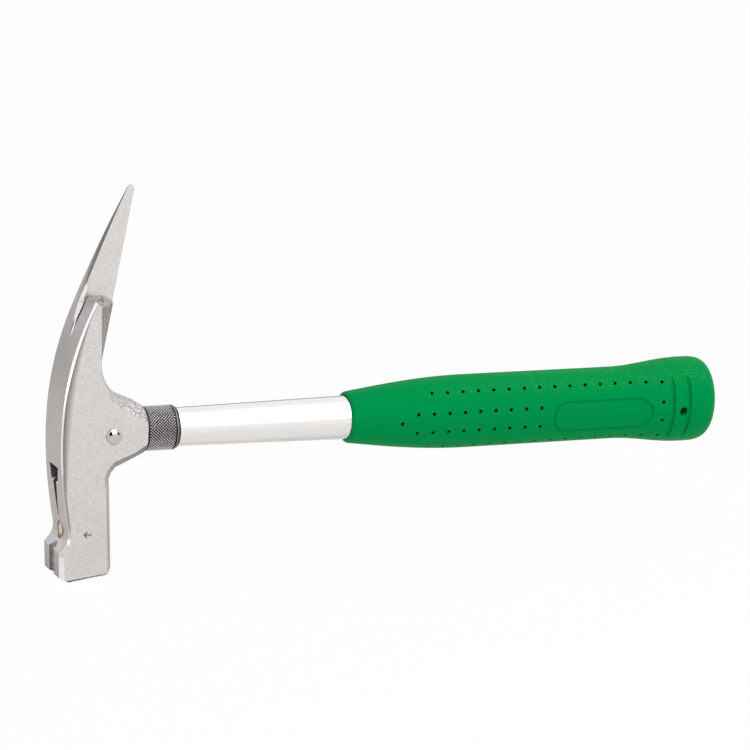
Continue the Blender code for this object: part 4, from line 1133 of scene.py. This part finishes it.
def plateGroove():
    # a round line sunk into both sides, along a bare oblong with half-round ends
    p = plateSize
    middle, half = (p["high"] + p["low"]) / 2, (p["high"] - p["low"]) / 2
    left, right, straight = p["from"] + half, p["to"] - half, p["straightSteps"]
    path = []
    for centre, first, end, height in (
        (left, math.pi / 2, right, p["low"]),
        (right, -math.pi / 2, left, p["high"]),
    ):
        for i in range(p["steps"] + 1):
            a = first + math.pi * i / p["steps"]
            path.append((centre + half * math.cos(a), middle + half * math.sin(a)))
        path += [(mixed(centre, end, i / straight), height) for i in range(1, straight)]
    joined = bmesh.new()
    for side in (-1, 1):
        centres = [gripPoint(u, z, side, p["lift"]) for u, z in path]
        count, sides = len(centres), p["sides"]
        loops = []
        for i, (point, out) in enumerate(centres):
            way = (centres[(i + 1) % count][0] - centres[i - 1][0]).normalized()
            across = way.cross(out).normalized()
            angles = [math.tau * k / sides for k in range(sides)]
            loops.append([joined.verts.new(point + p["line"] * (across * math.cos(a) + out * math.sin(a)))
                          for a in angles])
        for i in range(count):
            low, high = loops[i], loops[(i + 1) % count]
            for k in range(sides):
                j = (k + 1) % sides
                joined.faces.new((low[k], low[j], high[j], high[k]))
    return meshPiece("plateLine", joined)


def gripMaterial():
    look = gripSize
    material, tree, shader = newMaterial("gripGreen")
    grain = groupNode(tree, mouldGrain, Scale=look["grainScale"])
    base = colourMix(tree, grain["Height"], look["deepGreen"], look["green"])
    # painted glints where the grip looks up, and more so towards the butt
    normal = node(tree, "ShaderNodeNewGeometry").outputs["Normal"]
    glintMask = ranged(tree, split(tree, normal)["Z"], *look["glintLooksUp"], 0.0, look["glintShare"], True)
    glintMask = times(tree, glintMask, ranged(tree, split(tree, objectPlace(tree))["X"], *look["glintAlong"]))
    feed(tree, shader, {
        "Base Color": colourMix(tree, times(tree, grain["Glint"], glintMask), base, look["glintGreen"]),
        "Roughness": ranged(tree, grain["Height"], *look["grainRange"], *look["roughness"]),
        "IOR": look["index"], "Specular IOR Level": look["shine"],
        "Specular Tint": (*look["shineTint"], 1.0)})
    bumped(tree, shader, grain["Height"], look["bump"], look["bumpDepth"])
    return material


def holeMaterial():
    look = gripSize
    # near black down the dimples and the hanging hole, as painted shade
    material, tree, shader = newMaterial("holeShade")
    grain = groupNode(tree, mouldGrain, Scale=look["grainScale"])
    feed(tree, shader, {
        "Base Color": colourMix(tree, grain["Height"], look["holeDark"], look["holeGreen"]),
        "Roughness": look["holeRoughness"], "Specular IOR Level": look["holeShine"]})
    return material


gripGreen = gripMaterial()
gripMoulding = buildGrip()
finishPiece(gripMoulding, "grip", "green_grip", gripGreen, holeMaterial())
print("grip:", len(gripMoulding.data.polygons), "faces")


innerLook = {  # the two plugs inside the tube, which keep their CAD meshes
    "core_plug": {"name": "beechWood", "light": (0.56, 0.39, 0.22), "dark": (0.44, 0.29, 0.15),
                  "roughness": 0.6, "stretch": (30.0, 400.0, 400.0)},
    "end_plug": {"name": "plugBlack", "light": (0.03, 0.03, 0.03), "dark": (0.015, 0.015, 0.015),
                 "roughness": 0.5, "stretch": (300.0, 300.0, 300.0)},
}


def innerMaterial(name, light, dark, roughness, stretch):
    material, tree, shader = newMaterial(name)
    grain = groupNode(tree, grindGrain, Stretch=stretch)["Grain"]
    feed(tree, shader, {"Base Color": colourMix(tree, grain, dark, light), "Roughness": roughness})
    return material


for cadNode, look in innerLook.items():
    nodes[cadNode].data.materials.clear()
    nodes[cadNode].data.materials.append(innerMaterial(**look))
print("inner plugs")


stageLook = {
    "floorHalf": 6.0, "floorDrop": 0.2 * mm, "floorColour": (0.86, 0.845, 0.835), "floorRoughness": 0.9,
    "whiteShare": 0.95, "worldLevel": 0.6,
    "lamps": (  # name, place, aim, size, power
        ("topLamp", (0.75, -0.45, 1.45), (0.15, 0.0, 0.07), 0.9, 9.0),
        ("frontLamp", (0.4, -1.6, 1.15), (0.12, 0.0, 0.07), 1.4, 11.5),
        ("edgeLamp", (-1.5, -0.62, 0.14), (0.0, 0.0, 0.09), 0.5, 1.2),
    ),
    "flags": (  # way to a dark flag beside the set, its level and the cosines where it ends and begins
        ((-0.32, -0.93, 0.14), 0.01, 0.96, 0.974),
        ((-0.25, -0.88, 0.38), 0.01, 0.972, 0.985),
        ((0.81, -0.58, 0.13), 0.03, 0.975, 0.988),
        ((0.353, 0.93, 0.08), 0.35, 0.955, 0.985),
    ),
    "cameraPlace": (-0.6269, -1.8598, 0.5849), "cameraTurn": (76.039, -2.600, -21.791), "lens": 216.0,
    "sensor": 36.0, "sight": 40.0,
}


def buildFloor():
    look, half, level = stageLook, stageLook["floorHalf"], cadBox[0][2] - stageLook["floorDrop"]
    mesh = bpy.data.meshes.new("paleFloor")
    mesh.from_pydata([(x * half, y * half, level) for x, y in ((-1, -1), (1, -1), (1, 1), (-1, 1))], [],
                     [(0, 1, 2, 3)])
    floor = bpy.data.objects.new("paleFloor", mesh)
    scene.collection.objects.link(floor)
    material, tree, shader = newMaterial("floorPaint")
    feed(tree, shader, {
        "Base Color": (*look["floorColour"], 1.0), "Roughness": look["floorRoughness"],
        "Specular IOR Level": 0.0})
    glow = node(tree, "ShaderNodeEmission")
    isSeen = node(tree, "ShaderNodeLightPath").outputs["Is Camera Ray"]
    share = times(tree, isSeen, look["whiteShare"])
    mixer = node(tree, "ShaderNodeMixShader", {0: share, 1: shader.outputs[0], 2: glow.outputs[0]})
    feed(tree, tree.nodes["Material Output"], {"Surface": mixer.outputs[0]})
    mesh.materials.append(material)


def buildWorld():
    world = bpy.data.worlds.new("studioWhite")
    scene.world = world
    world.use_nodes = True
    tree = world.node_tree
    rays = node(tree, "ShaderNodeLightPath").outputs
    seen, mirrored = rays["Is Camera Ray"], rays["Is Glossy Ray"]
    way = node(tree, "ShaderNodeTexCoord").outputs["Generated"]
    plain = minus(tree, 1.0, mathNode(tree, "MAXIMUM", seen, mirrored))
    # a mirrored ray finds white and the dark flags
    for toFlag, level, ends, begins in stageLook["flags"]:
        cosine = vectorNode(tree, "DOT_PRODUCT", way, Vector(toFlag).normalized())["Value"]
        mirrored = times(tree, mirrored, ranged(tree, cosine, ends, begins, 1.0, level, True))
    total = plus(tree, plus(tree, mirrored, seen), times(tree, plain, stageLook["worldLevel"]))
    feed(tree, tree.nodes["Background"], {"Color": (1.0, 1.0, 1.0, 1.0), "Strength": total})


def buildLamps():
    for name, place, aim, size, power in stageLook["lamps"]:
        lamp = bpy.data.objects.new(name, bpy.data.lights.new(name, "AREA"))
        lamp.data.energy = power
        lamp.data.size = size
        lamp.location = place
        lamp.rotation_euler = (Vector(aim) - Vector(place)).to_track_quat("-Z", "Y").to_euler()
        scene.collection.objects.link(lamp)


def buildCamera():
    camera = bpy.data.objects.new("photoCamera", bpy.data.cameras.new("photoCamera"))
    camera.data.sensor_width = stageLook["sensor"]
    camera.data.lens = stageLook["lens"]
    camera.data.clip_end = stageLook["sight"]
    camera.location = stageLook["cameraPlace"]
    camera.rotation_euler = [math.radians(angle) for angle in stageLook["cameraTurn"]]
    scene.collection.objects.link(camera)
    scene.camera = camera


buildFloor()
buildWorld()
buildLamps()
buildCamera()
scene.view_settings.view_transform = "Standard"
print("floor, light and camera")
